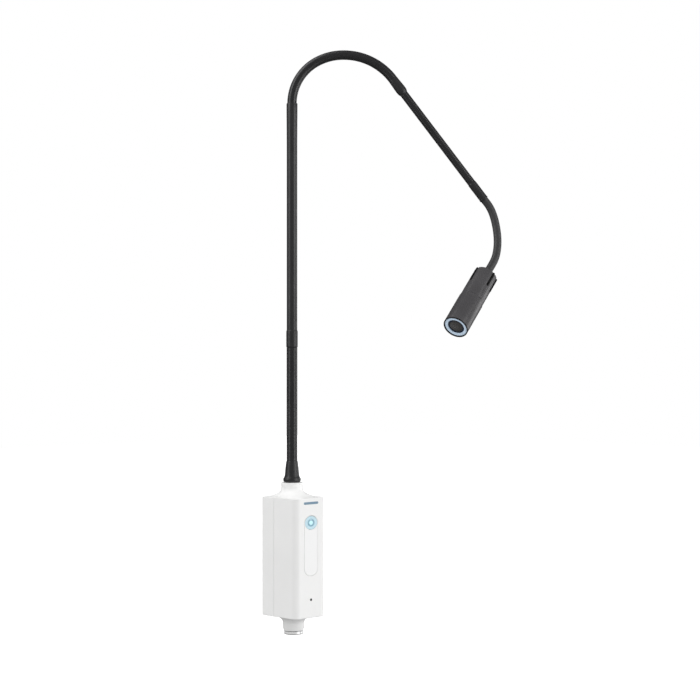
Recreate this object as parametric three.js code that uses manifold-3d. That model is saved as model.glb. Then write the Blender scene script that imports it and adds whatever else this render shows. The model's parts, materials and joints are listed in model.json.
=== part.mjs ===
// Examination lamp: a wall-box housing on a post, a two-stage gooseneck arm and a spot head.
// Millimetres, +Z up. The origin is on the axis of the mounting socket, at its lower rim,
// and the housing's front faces -Y.

import * as THREE from 'three';
import { mergeVertices } from 'three/addons/utils/BufferGeometryUtils.js';
import Module from 'manifold-3d';

const wasm = await Module();
wasm.setup();

// ---------------------------------------------------------------- driving dimensions

const GAP = 0.3; // clearance between neighbouring pieces

// Housing
const BOX_WIDTH = 64;
const BOX_DEPTH = 80;
const BOX_BOTTOM = 28.5;
const BOX_TOP = 212;
const FRONT_CORNER = 10;
const REAR_CORNER = 5;
const WALL = 2.4;
const SEAM_Y = 10; // plane where the front and rear shells meet
const COLLAR_RADIUS = 16.5;
const COLLAR_LIP = 15.3;
const COLLAR_BOTTOM = 5.7;
const NECK_RADIUS = 16.8;
const NECK_TOP = 234;
const NECK_Y = 3.6; // the arm's axis stands this far behind the socket's axis
const FRONT_Y = -BOX_DEPTH / 2;
const REAR_Y = BOX_DEPTH / 2;

// Mounting socket for the stand's post
const SOCKET_RADIUS = 14.4;
const SOCKET_BORE = 12.9;
const SOCKET_DEPTH = 50;
const SOCKET_TOP = 55;
const SOCKET_FLANGE = 20;

// Front panel, button and window
const PANEL_HALF_WIDTH = 13.9;
const PANEL_END = 11.6; // height of the rounded ends
const PANEL_LOW = 93;
const PANEL_HIGH = 185.2;
const PANEL_THICKNESS = 0.7;
const BUTTON_Z = 174.4;
const BUTTON_HALF_WIDTH = 12.7;
const BUTTON_HALF_HEIGHT = 10.4;
const BUTTON_TRAVEL = 0.8;
const WINDOW_Z = 56.5;
const WINDOW_RADIUS = 1.5;

// Mains inlet in the rear shell
const INLET_Z = 72;
const INLET_WIDTH = 28;
const INLET_HEIGHT = 21;
const INLET_FLANGE = 3;
const RECESS_WIDTH = 24;
const RECESS_HEIGHT = 16.5;
const RECESS_DEPTH = 17;

// Threaded stem that holds the arm in the housing's neck
const STEM_RADIUS = 8;

// Housing screws
const SCREW_X = 25.5;
const SCREW_LOW = 41;
const SCREW_HIGH = 199;
const SHANK_RADIUS = 1.5;
const SCREW_HEAD_RADIUS = 3.2;
const COUNTERBORE_RADIUS = 3.6;
const COUNTERBORE_DEPTH = 3;
const BOSS_RADIUS = 5;
const BOSS_FRONT = -8;

// Circuit boards
const BOARD_THICKNESS = 1.6;
const POWER_BOARD_Y = 13;
const CONTROL_BOARD_Y = -31;
const SWITCH_DEPTH = 1.8;
const PLUNGER_DEPTH = 2.6; // from the control board to the plunger's tip

// Arm
const ARM_TURN = 44; // degrees that the arm's plane is turned from the housing's width
const BOOT_BOTTOM = 234.5;
const BOOT_TOP = 266.8;
const LOWER_PITCH = 44; // distance between the joints of the lower gooseneck
const COUPLING_BOTTOM = BOOT_TOP + 4 * LOWER_PITCH;
const COUPLING_LENGTH = 27;
const TUBE_TOP = 820.9;
const TUBE_RADIUS = 8.15;
const TUBE_WALL = 1.5;
const ARCH_BEND = 142.8 / 6; // degrees at each of the arch's six bending joints
const ARCH_TIGHT = 15.6; // half the distance between bending joints, first half of the arch
const ARCH_WIDE = 20; // the same, second half
const ARCH_FERRULE = 28;
const SLIM_LENGTH = 174;
const SLIM_SLEEVE = 32.5;
const END_BEND = 20.1;
const END_SWAY = 14.7;
const END_PITCH = 21.5;

// Head: distances along its axis start half a joint spacing beyond the last joint
const HEAD_REAR = 11;
const HEAD_FRONT = 131;
const HEAD_RADIUS = 18.6;
const BARREL_RADIUS = 19.2;
const BARREL_START = 69;
const BAR_ANGLES = [-174, -135, -42, 93]; // heat-sink bars about the head's axis
const BAR_WIDTH = 3;
const BAR_START = HEAD_REAR + 0.5;
const BAR_END = 39.5;
const PETAL_CORNER = 2.5; // round of the rear shell's corners beside each slot

// Ball-and-cup links: outer radius, ball, cup and neck radii of each stage of the arm
const LOWER_LINK = { outer: 7.6, ball: 5.6, cup: 6.2, neck: 3.2 };
const ARCH_LINK = { outer: 7, ball: 5.2, cup: 5.8, neck: 3 };
const SLIM_LINK = { outer: 6, ball: 4.3, cup: 4.8, neck: 2.5 };
const END_LINK = { outer: 5.8, ball: 4.2, cup: 4.7, neck: 2.4 };
const CUP_OPENING = 66; // degrees from the cup's axis to its rim
const LINK_SIDES = 12;
const ROUND = 24; // sides of an ordinary turned piece

// ---------------------------------------------------------------- materials

const finish = (color, roughness, metalness) => ({ color, roughness, metalness });
const WHITE_PLASTIC = finish(0xf1f1f0, 0.45, 0);
const PALE_PLASTIC = finish(0xf7f7f7, 0.35, 0);
const BLACK_PLASTIC = finish(0x1d1d1f, 0.5, 0);
const BLACK_RUBBER = finish(0x232325, 0.7, 0);
const BLACK_STEEL = finish(0x2b2b2d, 0.4, 0.4);
const GREY_SHELL = finish(0x555557, 0.4, 0.2);
const POLISHED_STEEL = finish(0xd9dadb, 0.15, 1);
const PLAIN_STEEL = finish(0x9fa2a5, 0.35, 0.9);
const ALUMINIUM = finish(0xb9bcc0, 0.35, 0.9);
const BRASS = finish(0xc8a24c, 0.3, 0.9);
const BOARD_GREEN = finish(0x1f6b45, 0.5, 0);
const BLUE_LIGHT = finish(0xa9dcf2, 0.3, 0);
const RING_LIGHT = finish(0xb4cde6, 0.25, 0);
const DARK_LENS = finish(0x3c4248, 0.1, 0);
const CLEAR_OPTIC = finish(0xdfe8ee, 0.05, 0);
const LED_YELLOW = finish(0xf3e08a, 0.4, 0);

// ---------------------------------------------------------------- helpers

const rad = THREE.MathUtils.degToRad;

// A closed mesh as a manifold solid, without the flat triangles that a turned piece has on its axis.
function solidOf(geometry) {
  const bare = geometry.clone();
  bare.deleteAttribute('normal');
  bare.deleteAttribute('uv');
  const merged = mergeVertices(bare, 1e-4);
  const index = merged.index.array;
  const triangles = [];
  for (let i = 0; i < index.length; i += 3) {
    const [a, b, c] = [index[i], index[i + 1], index[i + 2]];
    if (a !== b && b !== c && c !== a) triangles.push(a, b, c);
  }
  return new wasm.Manifold(new wasm.Mesh({
    numProp: 3,
    vertProperties: new Float32Array(merged.attributes.position.array),
    triVerts: new Uint32Array(triangles),
  }));
}

function geometryOf(solid) {
  const mesh = solid.getMesh();
  const geometry = new THREE.BufferGeometry();
  geometry.setAttribute('position', new THREE.BufferAttribute(mesh.vertProperties, 3));
  geometry.setIndex(new THREE.BufferAttribute(mesh.triVerts, 1));
  geometry.computeVertexNormals();
  return geometry;
}

function cut(geometry, tools) {
  let solid = solidOf(geometry);
  for (const tool of tools) solid = solid.subtract(solidOf(tool));
  return geometryOf(solid);
}

function join(geometry, extras) {
  let solid = solidOf(geometry);
  for (const extra of extras) solid = solid.add(solidOf(extra));
  return geometryOf(solid);
}

// Turned piece about Z. The profile holds [radius, z] points, up the outside.
function turned(profile, sides = ROUND) {
  const points = profile.map(([radius, z]) => new THREE.Vector2(radius, z));
  return new THREE.LatheGeometry(points, sides).rotateX(Math.PI / 2);
}

// Turned tube: the profile closes on itself.
function turnedRing(profile, sides = ROUND) {
  return turned([...profile, profile[0]], sides);
}

function ring(inner, outer, low, high, sides = ROUND) {
  return turnedRing([[inner, low], [outer, low], [outer, high], [inner, high]], sides);
}

function disc(radius, low, high, sides = ROUND) {
  return turned([[0, low], [radius, low], [radius, high], [0, high]], sides);
}

// Box from its lowest to its highest corner.
function block(low, high) {
  const size = low.map((value, axis) => high[axis] - value);
  const middle = low.map((value, axis) => (high[axis] + value) / 2);
  return new THREE.BoxGeometry(...size).translate(...middle);
}

// Shape drawn in X and Z as seen from the front, extruded along +Y from y.
function frontPlate(shape, y, thickness, curveSegments = 10) {
  const geometry = new THREE.ExtrudeGeometry(shape, { depth: thickness, bevelEnabled: false, curveSegments });
  return geometry.rotateX(Math.PI / 2).translate(0, y + thickness, 0);
}

// Cylinder along Y between two planes.
function rod(radius, x, z, yLow, yHigh, sides = 12) {
  return disc(radius, yLow, yHigh, sides).rotateX(-Math.PI / 2).translate(x, 0, z);
}

function ellipse(z, halfWidth, halfHeight) {
  const shape = new THREE.Shape();
  shape.absellipse(0, z, halfWidth, halfHeight, 0, 2 * Math.PI);
  return shape;
}

// Arc of a cup or ball in [radius, z] points, from one polar angle to another (0 is +Z).
function arc(radius, centre, from, to, steps) {
  const points = [];
  for (let i = 0; i <= steps; i += 1) {
    const angle = rad(from + ((to - from) * i) / steps);
    points.push([radius * Math.sin(angle), centre + radius * Math.cos(angle)]);
  }
  return points;
}

function addPart(parent, name, geometry, look) {
  const mesh = new THREE.Mesh(geometry, new THREE.MeshStandardMaterial(look));
  mesh.name = name;
  parent.add(mesh);
  return mesh;
}

// ---------------------------------------------------------------- housing shells

// Points of a rounded rectangle about the origin, the front corners rounder than the rear ones.
function boxOutline(inset) {
  const halfWidth = BOX_WIDTH / 2 - inset;
  const halfDepth = BOX_DEPTH / 2 - inset;
  const corners = [[1, 1, REAR_CORNER], [-1, 1, REAR_CORNER], [-1, -1, FRONT_CORNER], [1, -1, FRONT_CORNER]];
  const points = [];
  corners.forEach(([sideX, sideY, corner], quarter) => {
    const radius = corner - inset;
    for (let i = 0; i <= 4; i += 1) {
      const angle = (quarter + i / 4) * (Math.PI / 2);
      const x = sideX * (halfWidth - radius) + radius * Math.cos(angle);
      const y = sideY * (halfDepth - radius) + radius * Math.sin(angle);
      points.push(new THREE.Vector2(x, y));
    }
    const start = points[points.length - 1];
    const [nextX, nextY, nextCorner] = corners[(quarter + 1) % 4];
    const nextRadius = nextCorner - inset;
    const nextAngle = (quarter + 1) * (Math.PI / 2);
    const end = new THREE.Vector2(
      nextX * (halfWidth - nextRadius) + nextRadius * Math.cos(nextAngle),
      nextY * (halfDepth - nextRadius) + nextRadius * Math.sin(nextAngle),
    );
    for (let i = 1; i <= 3; i += 1) points.push(start.clone().lerp(end, i / 4));
  });
  return points;
}

// Skin through rings that blend from a circle (spread 0) to the box's outline (spread 1).
function housingSkin() {
  const levels = [
    { z: COLLAR_BOTTOM, spread: 0, radius: COLLAR_LIP, centre: 0 },
    { z: 10, spread: 0, radius: COLLAR_RADIUS, centre: 0 },
    { z: 16.5, spread: 0, radius: COLLAR_RADIUS, centre: 0 },
    { z: 20.3, spread: 0.05, radius: COLLAR_RADIUS, centre: 0 },
    { z: 23.6, spread: 0.14, radius: COLLAR_RADIUS, centre: 0 },
    { z: 26.6, spread: 0.3, radius: COLLAR_RADIUS, centre: 0 },
    { z: 28.1, spread: 0.6, radius: COLLAR_RADIUS, centre: 0 },
    { z: BOX_BOTTOM, spread: 1, radius: COLLAR_RADIUS, centre: 0 },
    { z: BOX_TOP, spread: 1, radius: NECK_RADIUS, centre: NECK_Y },
    { z: 212.8, spread: 0.7, radius: NECK_RADIUS, centre: NECK_Y },
    { z: 214.6, spread: 0.42, radius: NECK_RADIUS, centre: NECK_Y },
    { z: 217.3, spread: 0.2, radius: NECK_RADIUS, centre: NECK_Y },
    { z: 220.6, spread: 0.07, radius: NECK_RADIUS, centre: NECK_Y },
    { z: 225, spread: 0, radius: NECK_RADIUS, centre: NECK_Y },
    { z: NECK_TOP, spread: 0, radius: NECK_RADIUS, centre: NECK_Y },
  ];
  const outline = boxOutline(0);
  const count = outline.length;
  const positions = [];
  for (const { z, spread, radius, centre } of levels) {
    for (const point of outline) {
      const toPoint = new THREE.Vector2(point.x, point.y - centre);
      const round = toPoint.clone().setLength(radius);
      round.lerp(toPoint, spread);
      positions.push(round.x, round.y + centre, z);
    }
  }
  positions.push(0, 0, COLLAR_BOTTOM, 0, NECK_Y, NECK_TOP);
  const bottom = levels.length * count;
  const index = [];
  for (let i = 0; i < count; i += 1) {
    const next = (i + 1) % count;
    for (let level = 0; level + 1 < levels.length; level += 1) {
      const low = level * count;
      const high = low + count;
      index.push(low + i, low + next, high + next, low + i, high + next, high + i);
    }
    const top = (levels.length - 1) * count;
    index.push(bottom, next, i, bottom + 1, top + i, top + next);
  }
  const geometry = new THREE.BufferGeometry();
  geometry.setAttribute('position', new THREE.BufferAttribute(new Float32Array(positions), 3));
  geometry.setIndex(index);
  return geometry;
}

function housingCavity() {
  const room = new THREE.Shape(boxOutline(WALL));
  const height = BOX_TOP - BOX_BOTTOM - 2 * WALL;
  return new THREE.ExtrudeGeometry(room, { depth: height, bevelEnabled: false })
    .translate(0, 0, BOX_BOTTOM + WALL);
}

function panelOutline(growth) {
  const halfWidth = PANEL_HALF_WIDTH + growth;
  const end = PANEL_END + growth;
  const shape = new THREE.Shape();
  shape.absellipse(0, PANEL_HIGH - PANEL_END, halfWidth, end, 0, Math.PI);
  shape.absellipse(0, PANEL_LOW + PANEL_END, halfWidth, end, Math.PI, 2 * Math.PI);
  return shape;
}

const SCREW_PLACES = [
  [-SCREW_X, SCREW_LOW],
  [SCREW_X, SCREW_LOW],
  [-SCREW_X, SCREW_HIGH],
  [SCREW_X, SCREW_HIGH],
];
const FAR = 200; // larger than the housing, for the cutting blocks

function hollowHousing() {
  return cut(housingSkin(), [
    housingCavity(),
    disc(SOCKET_RADIUS + GAP, 0, BOX_BOTTOM + 2 * WALL),
    disc(NECK_RADIUS - WALL, BOX_TOP - 2 * WALL, NECK_TOP - WALL).translate(0, NECK_Y, 0),
    disc(STEM_RADIUS + GAP, NECK_TOP - 2 * WALL, NECK_TOP + 1).translate(0, NECK_Y, 0),
  ]);
}

function addShells(parent) {
  const hollow = hollowHousing();

  const seamFront = SEAM_Y - GAP / 2;
  const frontBosses = SCREW_PLACES.map(([x, z]) => rod(BOSS_RADIUS, x, z, BOSS_FRONT, seamFront));
  const frontHalf = cut(hollow, [block([-FAR, seamFront, -FAR], [FAR, FAR, 2 * FAR])]);
  const front = cut(join(frontHalf, frontBosses), [
    frontPlate(panelOutline(GAP), FRONT_Y - 1, 1 + PANEL_THICKNESS + GAP),
    frontPlate(ellipse(BUTTON_Z, BUTTON_HALF_WIDTH + GAP, BUTTON_HALF_HEIGHT + GAP), FRONT_Y - 1, WALL + 2),
    rod(WINDOW_RADIUS + GAP, 0, WINDOW_Z, FRONT_Y - 1, FRONT_Y + WALL + 1),
    ...SCREW_PLACES.map(([x, z]) => rod(SHANK_RADIUS + GAP, x, z, BOSS_FRONT + 2, SEAM_Y)),
  ]);
  addPart(parent, 'housing_front', front, WHITE_PLASTIC);

  const seamRear = SEAM_Y + GAP / 2;
  const rearBosses = SCREW_PLACES.map(([x, z]) => rod(BOSS_RADIUS, x, z, seamRear, REAR_Y - 1));
  const rearHalf = cut(hollow, [block([-FAR, -FAR, -FAR], [FAR, seamRear, 2 * FAR])]);
  const inletHole = block(
    [-INLET_WIDTH / 2 - GAP, REAR_Y - 2 * WALL, INLET_Z - INLET_HEIGHT / 2 - GAP],
    [INLET_WIDTH / 2 + GAP, REAR_Y + 1, INLET_Z + INLET_HEIGHT / 2 + GAP],
  );
  const counterboreFloor = REAR_Y - COUNTERBORE_DEPTH;
  const rear = cut(join(rearHalf, rearBosses), [
    inletHole,
    ...SCREW_PLACES.map(([x, z]) => rod(SHANK_RADIUS + GAP, x, z, SEAM_Y - 1, REAR_Y)),
    ...SCREW_PLACES.map(([x, z]) => rod(COUNTERBORE_RADIUS, x, z, counterboreFloor, REAR_Y + 1, 16)),
  ]);
  addPart(parent, 'housing_rear', rear, WHITE_PLASTIC);
}

function addHousingScrews(parent) {
  const headBack = REAR_Y - COUNTERBORE_DEPTH + GAP;
  const headFace = REAR_Y - GAP;
  const driveDepth = 1.4;
  SCREW_PLACES.forEach(([x, z], place) => {
    const profile = [
      [0, BOSS_FRONT + 4],
      [SHANK_RADIUS, BOSS_FRONT + 4],
      [SHANK_RADIUS, headBack],
      [SCREW_HEAD_RADIUS, headBack],
      [SCREW_HEAD_RADIUS, headFace],
      [1.3, headFace],
      [1.1, headFace - driveDepth],
      [0, headFace - driveDepth],
    ];
    const screw = turned(profile, 12).rotateX(-Math.PI / 2).translate(x, 0, z);
    addPart(parent, `housing_screw_${place + 1}`, screw, PLAIN_STEEL);
  });
}

// ---------------------------------------------------------------- structure inside the housing

const CHASSIS_LOW = SOCKET_TOP + GAP;
const CHASSIS_HIGH = 200;
const SHEET = 2.5;
const CHASSIS_FRONT = -15;
const CHASSIS_REAR = 17;
const STEM_BOTTOM = 186;

function addStructure(parent) {
  const socket = turned([
    [0, SOCKET_DEPTH],
    [SOCKET_BORE, SOCKET_DEPTH],
    [SOCKET_BORE, 0],
    [SOCKET_RADIUS, 0],
    [SOCKET_RADIUS, SOCKET_TOP - 3],
    [SOCKET_FLANGE, SOCKET_TOP - 3],
    [SOCKET_FLANGE, SOCKET_TOP],
    [0, SOCKET_TOP],
  ]);
  addPart(parent, 'mounting_socket', socket, POLISHED_STEEL);

  const side = 18;
  const web = block([-side, CHASSIS_FRONT, CHASSIS_LOW], [side, CHASSIS_FRONT + SHEET, CHASSIS_HIGH]);
  const foot = block([-side, CHASSIS_FRONT, CHASSIS_LOW], [side, CHASSIS_REAR, CHASSIS_LOW + SHEET]);
  const shelf = block([-side, CHASSIS_FRONT, CHASSIS_HIGH - SHEET], [side, CHASSIS_REAR, CHASSIS_HIGH]);
  const stemHole = disc(STEM_RADIUS + GAP, CHASSIS_HIGH - 10, CHASSIS_HIGH + 10).translate(0, NECK_Y, 0);
  const chassis = cut(join(web, [foot, shelf]), [stemHole]);
  addPart(parent, 'chassis_bracket', chassis, PLAIN_STEEL);

  const nutTop = CHASSIS_HIGH - SHEET - GAP;
  const nut = cut(disc(12, nutTop - 7, nutTop, 6), [disc(STEM_RADIUS + GAP, nutTop - 10, nutTop + 1)]);
  addPart(parent, 'gland_nut', nut.translate(0, NECK_Y, 0), BRASS);
}

function addElectronics(parent) {
  const boardBack = POWER_BOARD_Y + BOARD_THICKNESS;
  const boardFace = boardBack + GAP;
  addPart(parent, 'power_board', block([-22, POWER_BOARD_Y, 92], [22, boardBack, 184]), BOARD_GREEN);

  const core = block([-17, boardFace, 128], [17, boardFace + 16, 158]);
  const coil = block([-11, boardFace, 124], [11, boardFace + 19, 162]);
  addPart(parent, 'transformer', join(core, [coil]), LED_YELLOW);

  const capacitor = turned([[0, 0], [7.2, 0], [8, 0.8], [8, 19], [7.2, 20], [0, 20]], 20);
  capacitor.rotateX(-Math.PI / 2).translate(10, boardFace, 173);
  addPart(parent, 'smoothing_capacitor', capacitor, BLACK_PLASTIC);

  const toroid = turnedRing([[4, 0], [9, 0], [10, 1], [10, 8], [9, 9], [4, 9], [3, 8], [3, 1]], 20);
  addPart(parent, 'mains_choke', toroid.rotateX(-Math.PI / 2).translate(-8, boardFace, 108), BRASS);

  const controlBack = CONTROL_BOARD_Y + BOARD_THICKNESS;
  addPart(parent, 'control_board', block([-17, CONTROL_BOARD_Y, 48], [17, controlBack, 190]), BOARD_GREEN);

  const switchBack = CONTROL_BOARD_Y - GAP;
  const switchBody = block([-3, switchBack - SWITCH_DEPTH, BUTTON_Z - 3], [3, switchBack, BUTTON_Z + 3]);
  const plunger = rod(1.6, 0, BUTTON_Z, switchBack - PLUNGER_DEPTH, switchBack - 1);
  addPart(parent, 'button_switch', join(switchBody, [plunger]), BLACK_PLASTIC);
}

// ---------------------------------------------------------------- front panel

const BUTTON_SKIRT = 1.2;

function addFrontPanel(parent) {
  const overlay = cut(frontPlate(panelOutline(0), FRONT_Y, PANEL_THICKNESS), [
    frontPlate(ellipse(BUTTON_Z, BUTTON_HALF_WIDTH + GAP, BUTTON_HALF_HEIGHT + GAP), FRONT_Y - 1, 3),
  ]);
  addPart(parent, 'front_overlay', overlay, PALE_PLASTIC);

  // The cap slides inwards. Its skirt stops against the inside of the wall, its post meets the switch.
  const capBack = FRONT_Y + WALL + GAP;
  const capShape = ellipse(BUTTON_Z, BUTTON_HALF_WIDTH, BUTTON_HALF_HEIGHT);
  const cap = frontPlate(capShape, FRONT_Y, capBack - FRONT_Y + 1);
  const skirtShape = ellipse(BUTTON_Z, BUTTON_HALF_WIDTH + BUTTON_SKIRT, BUTTON_HALF_HEIGHT + BUTTON_SKIRT);
  const skirt = frontPlate(skirtShape, capBack, BUTTON_SKIRT);
  const switchTip = CONTROL_BOARD_Y - GAP - PLUNGER_DEPTH;
  const post = rod(2, 0, BUTTON_Z, capBack, switchTip - BUTTON_TRAVEL - GAP);
  addPart(parent, 'power_button', join(cap, [skirt, post]), BLUE_LIGHT);

  const lens = turned([[0, 0], [WINDOW_RADIUS, 0], [WINDOW_RADIUS, 5], [0, 5]], 12)
    .rotateX(-Math.PI / 2)
    .translate(0, FRONT_Y + 0.1, WINDOW_Z);
  addPart(parent, 'sensor_window', lens, BLACK_PLASTIC);
}

// ---------------------------------------------------------------- mains inlet

function addInlet(parent) {
  const mouthY = REAR_Y + GAP + 2.2;
  const recessFloor = mouthY - RECESS_DEPTH;
  const bodyFront = recessFloor - 3;
  const blades = [
    { name: 'inlet_pin_line', x: -7, z: INLET_Z },
    { name: 'inlet_pin_earth', x: 0, z: INLET_Z + 4 },
    { name: 'inlet_pin_neutral', x: 7, z: INLET_Z },
  ];
  const body = block(
    [-INLET_WIDTH / 2, bodyFront, INLET_Z - INLET_HEIGHT / 2],
    [INLET_WIDTH / 2, REAR_Y + GAP + 1, INLET_Z + INLET_HEIGHT / 2],
  );
  const flange = block(
    [-INLET_WIDTH / 2 - INLET_FLANGE, REAR_Y + GAP, INLET_Z - INLET_HEIGHT / 2 - INLET_FLANGE],
    [INLET_WIDTH / 2 + INLET_FLANGE, mouthY, INLET_Z + INLET_HEIGHT / 2 + INLET_FLANGE],
  );
  const recess = block(
    [-RECESS_WIDTH / 2, recessFloor, INLET_Z - RECESS_HEIGHT / 2],
    [RECESS_WIDTH / 2, mouthY + 1, INLET_Z + RECESS_HEIGHT / 2],
  );
  const bladeBlock = ({ x, z }, growth, yLow, yHigh) => block(
    [x - 1 - growth, yLow, z - 2 - growth],
    [x + 1 + growth, yHigh, z + 2 + growth],
  );
  const slots = blades.map((blade) => bladeBlock(blade, GAP, bodyFront - 1, recessFloor + 1));
  addPart(parent, 'inlet_body', cut(join(body, [flange]), [recess, ...slots]), BLACK_PLASTIC);
  for (const blade of blades) {
    addPart(parent, blade.name, bladeBlock(blade, 0, bodyFront - 3, mouthY - 2.5), PLAIN_STEEL);
  }
}

// ---------------------------------------------------------------- arm

// Ball on the piece's lower end, with the neck and the flare that leads to its body.
function ballEnd(link) {
  const neckAngle = THREE.MathUtils.radToDeg(Math.asin(link.neck / link.ball));
  const flare = link.outer + 0.9;
  return [
    ...arc(link.ball, 0, 180, neckAngle, 4),
    [link.neck, flare],
    [link.outer, flare],
  ];
}

// Cup on the piece's upper end, about the joint at height z.
function cupEnd(link, z) {
  const rim = z + link.cup * Math.cos(rad(CUP_OPENING));
  return [[link.outer, rim], ...arc(link.cup, z, CUP_OPENING, 180, 4)];
}

function linkGeometry(lower, upper, length) {
  return turned([...ballEnd(lower), ...cupEnd(upper, length)], LINK_SIDES);
}

// Joint frames hang from one another. Bending turns about Y, swaying about X.
function addJoint(parent, distance, bend, sway) {
  const pivot = new THREE.Group();
  pivot.position.z = distance;
  pivot.rotation.set(rad(sway), rad(bend), 0);
  parent.add(pivot);
  return pivot;
}

function addLowerStage(arm) {
  const firstJoint = BOOT_TOP + LOWER_PITCH / 2;
  const fitting = turned([
    [0, STEM_BOTTOM],
    [STEM_RADIUS, STEM_BOTTOM],
    [STEM_RADIUS, BOOT_BOTTOM - 2],
    [LOWER_LINK.outer, BOOT_BOTTOM + 2],
    ...cupEnd(LOWER_LINK, firstJoint),
  ], 20);
  addPart(arm, 'gooseneck_root', fitting, BLACK_STEEL);

  const bore = STEM_RADIUS + GAP;
  const boot = turnedRing([
    [bore, BOOT_BOTTOM],
    [12.6, BOOT_BOTTOM],
    [13.6, BOOT_BOTTOM + 3.2],
    [13.4, BOOT_BOTTOM + 5.6],
    [12, BOOT_BOTTOM + 8],
    [11.1, BOOT_BOTTOM + 11],
    [10.1, BOOT_BOTTOM + 22.5],
    [9.1, BOOT_TOP - 1.5],
    [8.7, BOOT_TOP],
    [bore, BOOT_TOP],
  ]);
  addPart(arm, 'base_boot', boot, BLACK_RUBBER);

  let frame = addJoint(arm, firstJoint, 0, 0);
  for (let i = 1; i <= 3; i += 1) {
    addPart(frame, `lower_link_${i}`, linkGeometry(LOWER_LINK, LOWER_LINK, LOWER_PITCH), BLACK_STEEL);
    frame = addJoint(frame, LOWER_PITCH, 0, 0);
  }
  return frame;
}

// Coupling, rigid tube and the arch's root fitting, in the frame of the lower stage's last joint.
function addMiddleStage(frame) {
  const below = LOWER_PITCH / 2; // from the last joint up to the coupling's lower edge
  const couplingTop = below + COUPLING_LENGTH;
  const tubeBore = TUBE_RADIUS + GAP;
  const tubeSeat = below + 9;
  const coupling = turned([
    ...ballEnd(LOWER_LINK),
    [LOWER_LINK.outer, below],
    [8.1, below],
    [8.9, below + 1.4],
    [8.9, couplingTop - 1.4],
    [8.6, couplingTop],
    [tubeBore, couplingTop],
    [tubeBore, tubeSeat],
    [0, tubeSeat],
  ], 20);
  addPart(frame, 'mid_coupling', coupling, BLACK_STEEL);

  const tubeTop = TUBE_TOP - COUPLING_BOTTOM + below;
  const inner = TUBE_RADIUS - TUBE_WALL;
  const tube = turnedRing([
    [inner, tubeSeat + GAP],
    [TUBE_RADIUS, tubeSeat + GAP],
    [TUBE_RADIUS, tubeTop - 60],
    [8.4, tubeTop - 20],
    [8.5, tubeTop - 0.6],
    [8.1, tubeTop],
    [inner, tubeTop],
  ]);
  addPart(frame, 'rigid_tube', tube, BLACK_STEEL);

  const plug = inner - GAP;
  const archJoint = tubeTop + ARCH_TIGHT;
  const root = turned([
    [0, tubeTop - 30],
    [plug, tubeTop - 30],
    [plug, tubeTop + GAP],
    [ARCH_LINK.outer, tubeTop + GAP],
    ...cupEnd(ARCH_LINK, archJoint),
  ], 20);
  addPart(frame, 'arch_root', root, BLACK_STEEL);
  return addJoint(frame, archJoint, ARCH_BEND, 0);
}

// Ten links between eleven joints: bending joints with the swaying joints half-way between them.
function addArch(firstFrame) {
  let frame = firstFrame;
  for (let i = 1; i <= 10; i += 1) {
    const length = i <= 5 ? ARCH_TIGHT : ARCH_WIDE;
    addPart(frame, `arch_link_${i}`, linkGeometry(ARCH_LINK, ARCH_LINK, length), BLACK_STEEL);
    frame = addJoint(frame, length, i % 2 === 0 ? ARCH_BEND : 0, 0);
  }
  return frame;
}

function addSlimStage(archEnd) {
  const ferruleStart = ARCH_WIDE;
  const ferruleEnd = ferruleStart + ARCH_FERRULE;
  const bendJoint = ferruleEnd + SLIM_LENGTH / 4;
  const ferrule = turned([
    ...ballEnd(ARCH_LINK),
    [ARCH_LINK.outer, ferruleStart],
    [8, ferruleStart + 1.2],
    [8, ferruleEnd - 1.5],
    [6.8, ferruleEnd],
    [SLIM_LINK.outer, ferruleEnd],
    ...cupEnd(SLIM_LINK, bendJoint),
  ], 20);
  addPart(archEnd, 'arch_ferrule', ferrule, BLACK_STEEL);

  const linkFrame = addJoint(archEnd, bendJoint, 0, 0);
  addPart(linkFrame, 'slim_link', linkGeometry(SLIM_LINK, SLIM_LINK, SLIM_LENGTH / 2), BLACK_STEEL);

  const sleeveFrame = addJoint(linkFrame, SLIM_LENGTH / 2, 0, 0);
  const sleeveStart = SLIM_LENGTH / 4;
  const sleeveEnd = sleeveStart + SLIM_SLEEVE;
  const endJoint = sleeveEnd + END_PITCH / 2;
  const sleeve = turned([
    ...ballEnd(SLIM_LINK),
    [SLIM_LINK.outer, sleeveStart],
    [6.7, sleeveStart + 0.8],
    [6.7, sleeveEnd - 1],
    [END_LINK.outer, sleeveEnd],
    ...cupEnd(END_LINK, endJoint),
  ], 20);
  addPart(sleeveFrame, 'slim_sleeve', sleeve, BLACK_STEEL);
  return addJoint(sleeveFrame, endJoint, END_BEND, 0);
}

function addEndStage(firstFrame) {
  let frame = firstFrame;
  for (let i = 1; i <= 5; i += 1) {
    addPart(frame, `end_link_${i}`, linkGeometry(END_LINK, END_LINK, END_PITCH), BLACK_STEEL);
    const bending = i % 2 === 0;
    frame = addJoint(frame, END_PITCH, bending ? END_BEND : 0, bending ? 0 : END_SWAY);
  }
  return frame;
}

// ---------------------------------------------------------------- head

// A box that runs outwards from the head's axis, turned about it.
function spoke(angle, width, inner, outer, low, high) {
  return block([inner, -width / 2, low], [outer, width / 2, high]).rotateZ(rad(angle));
}

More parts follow.
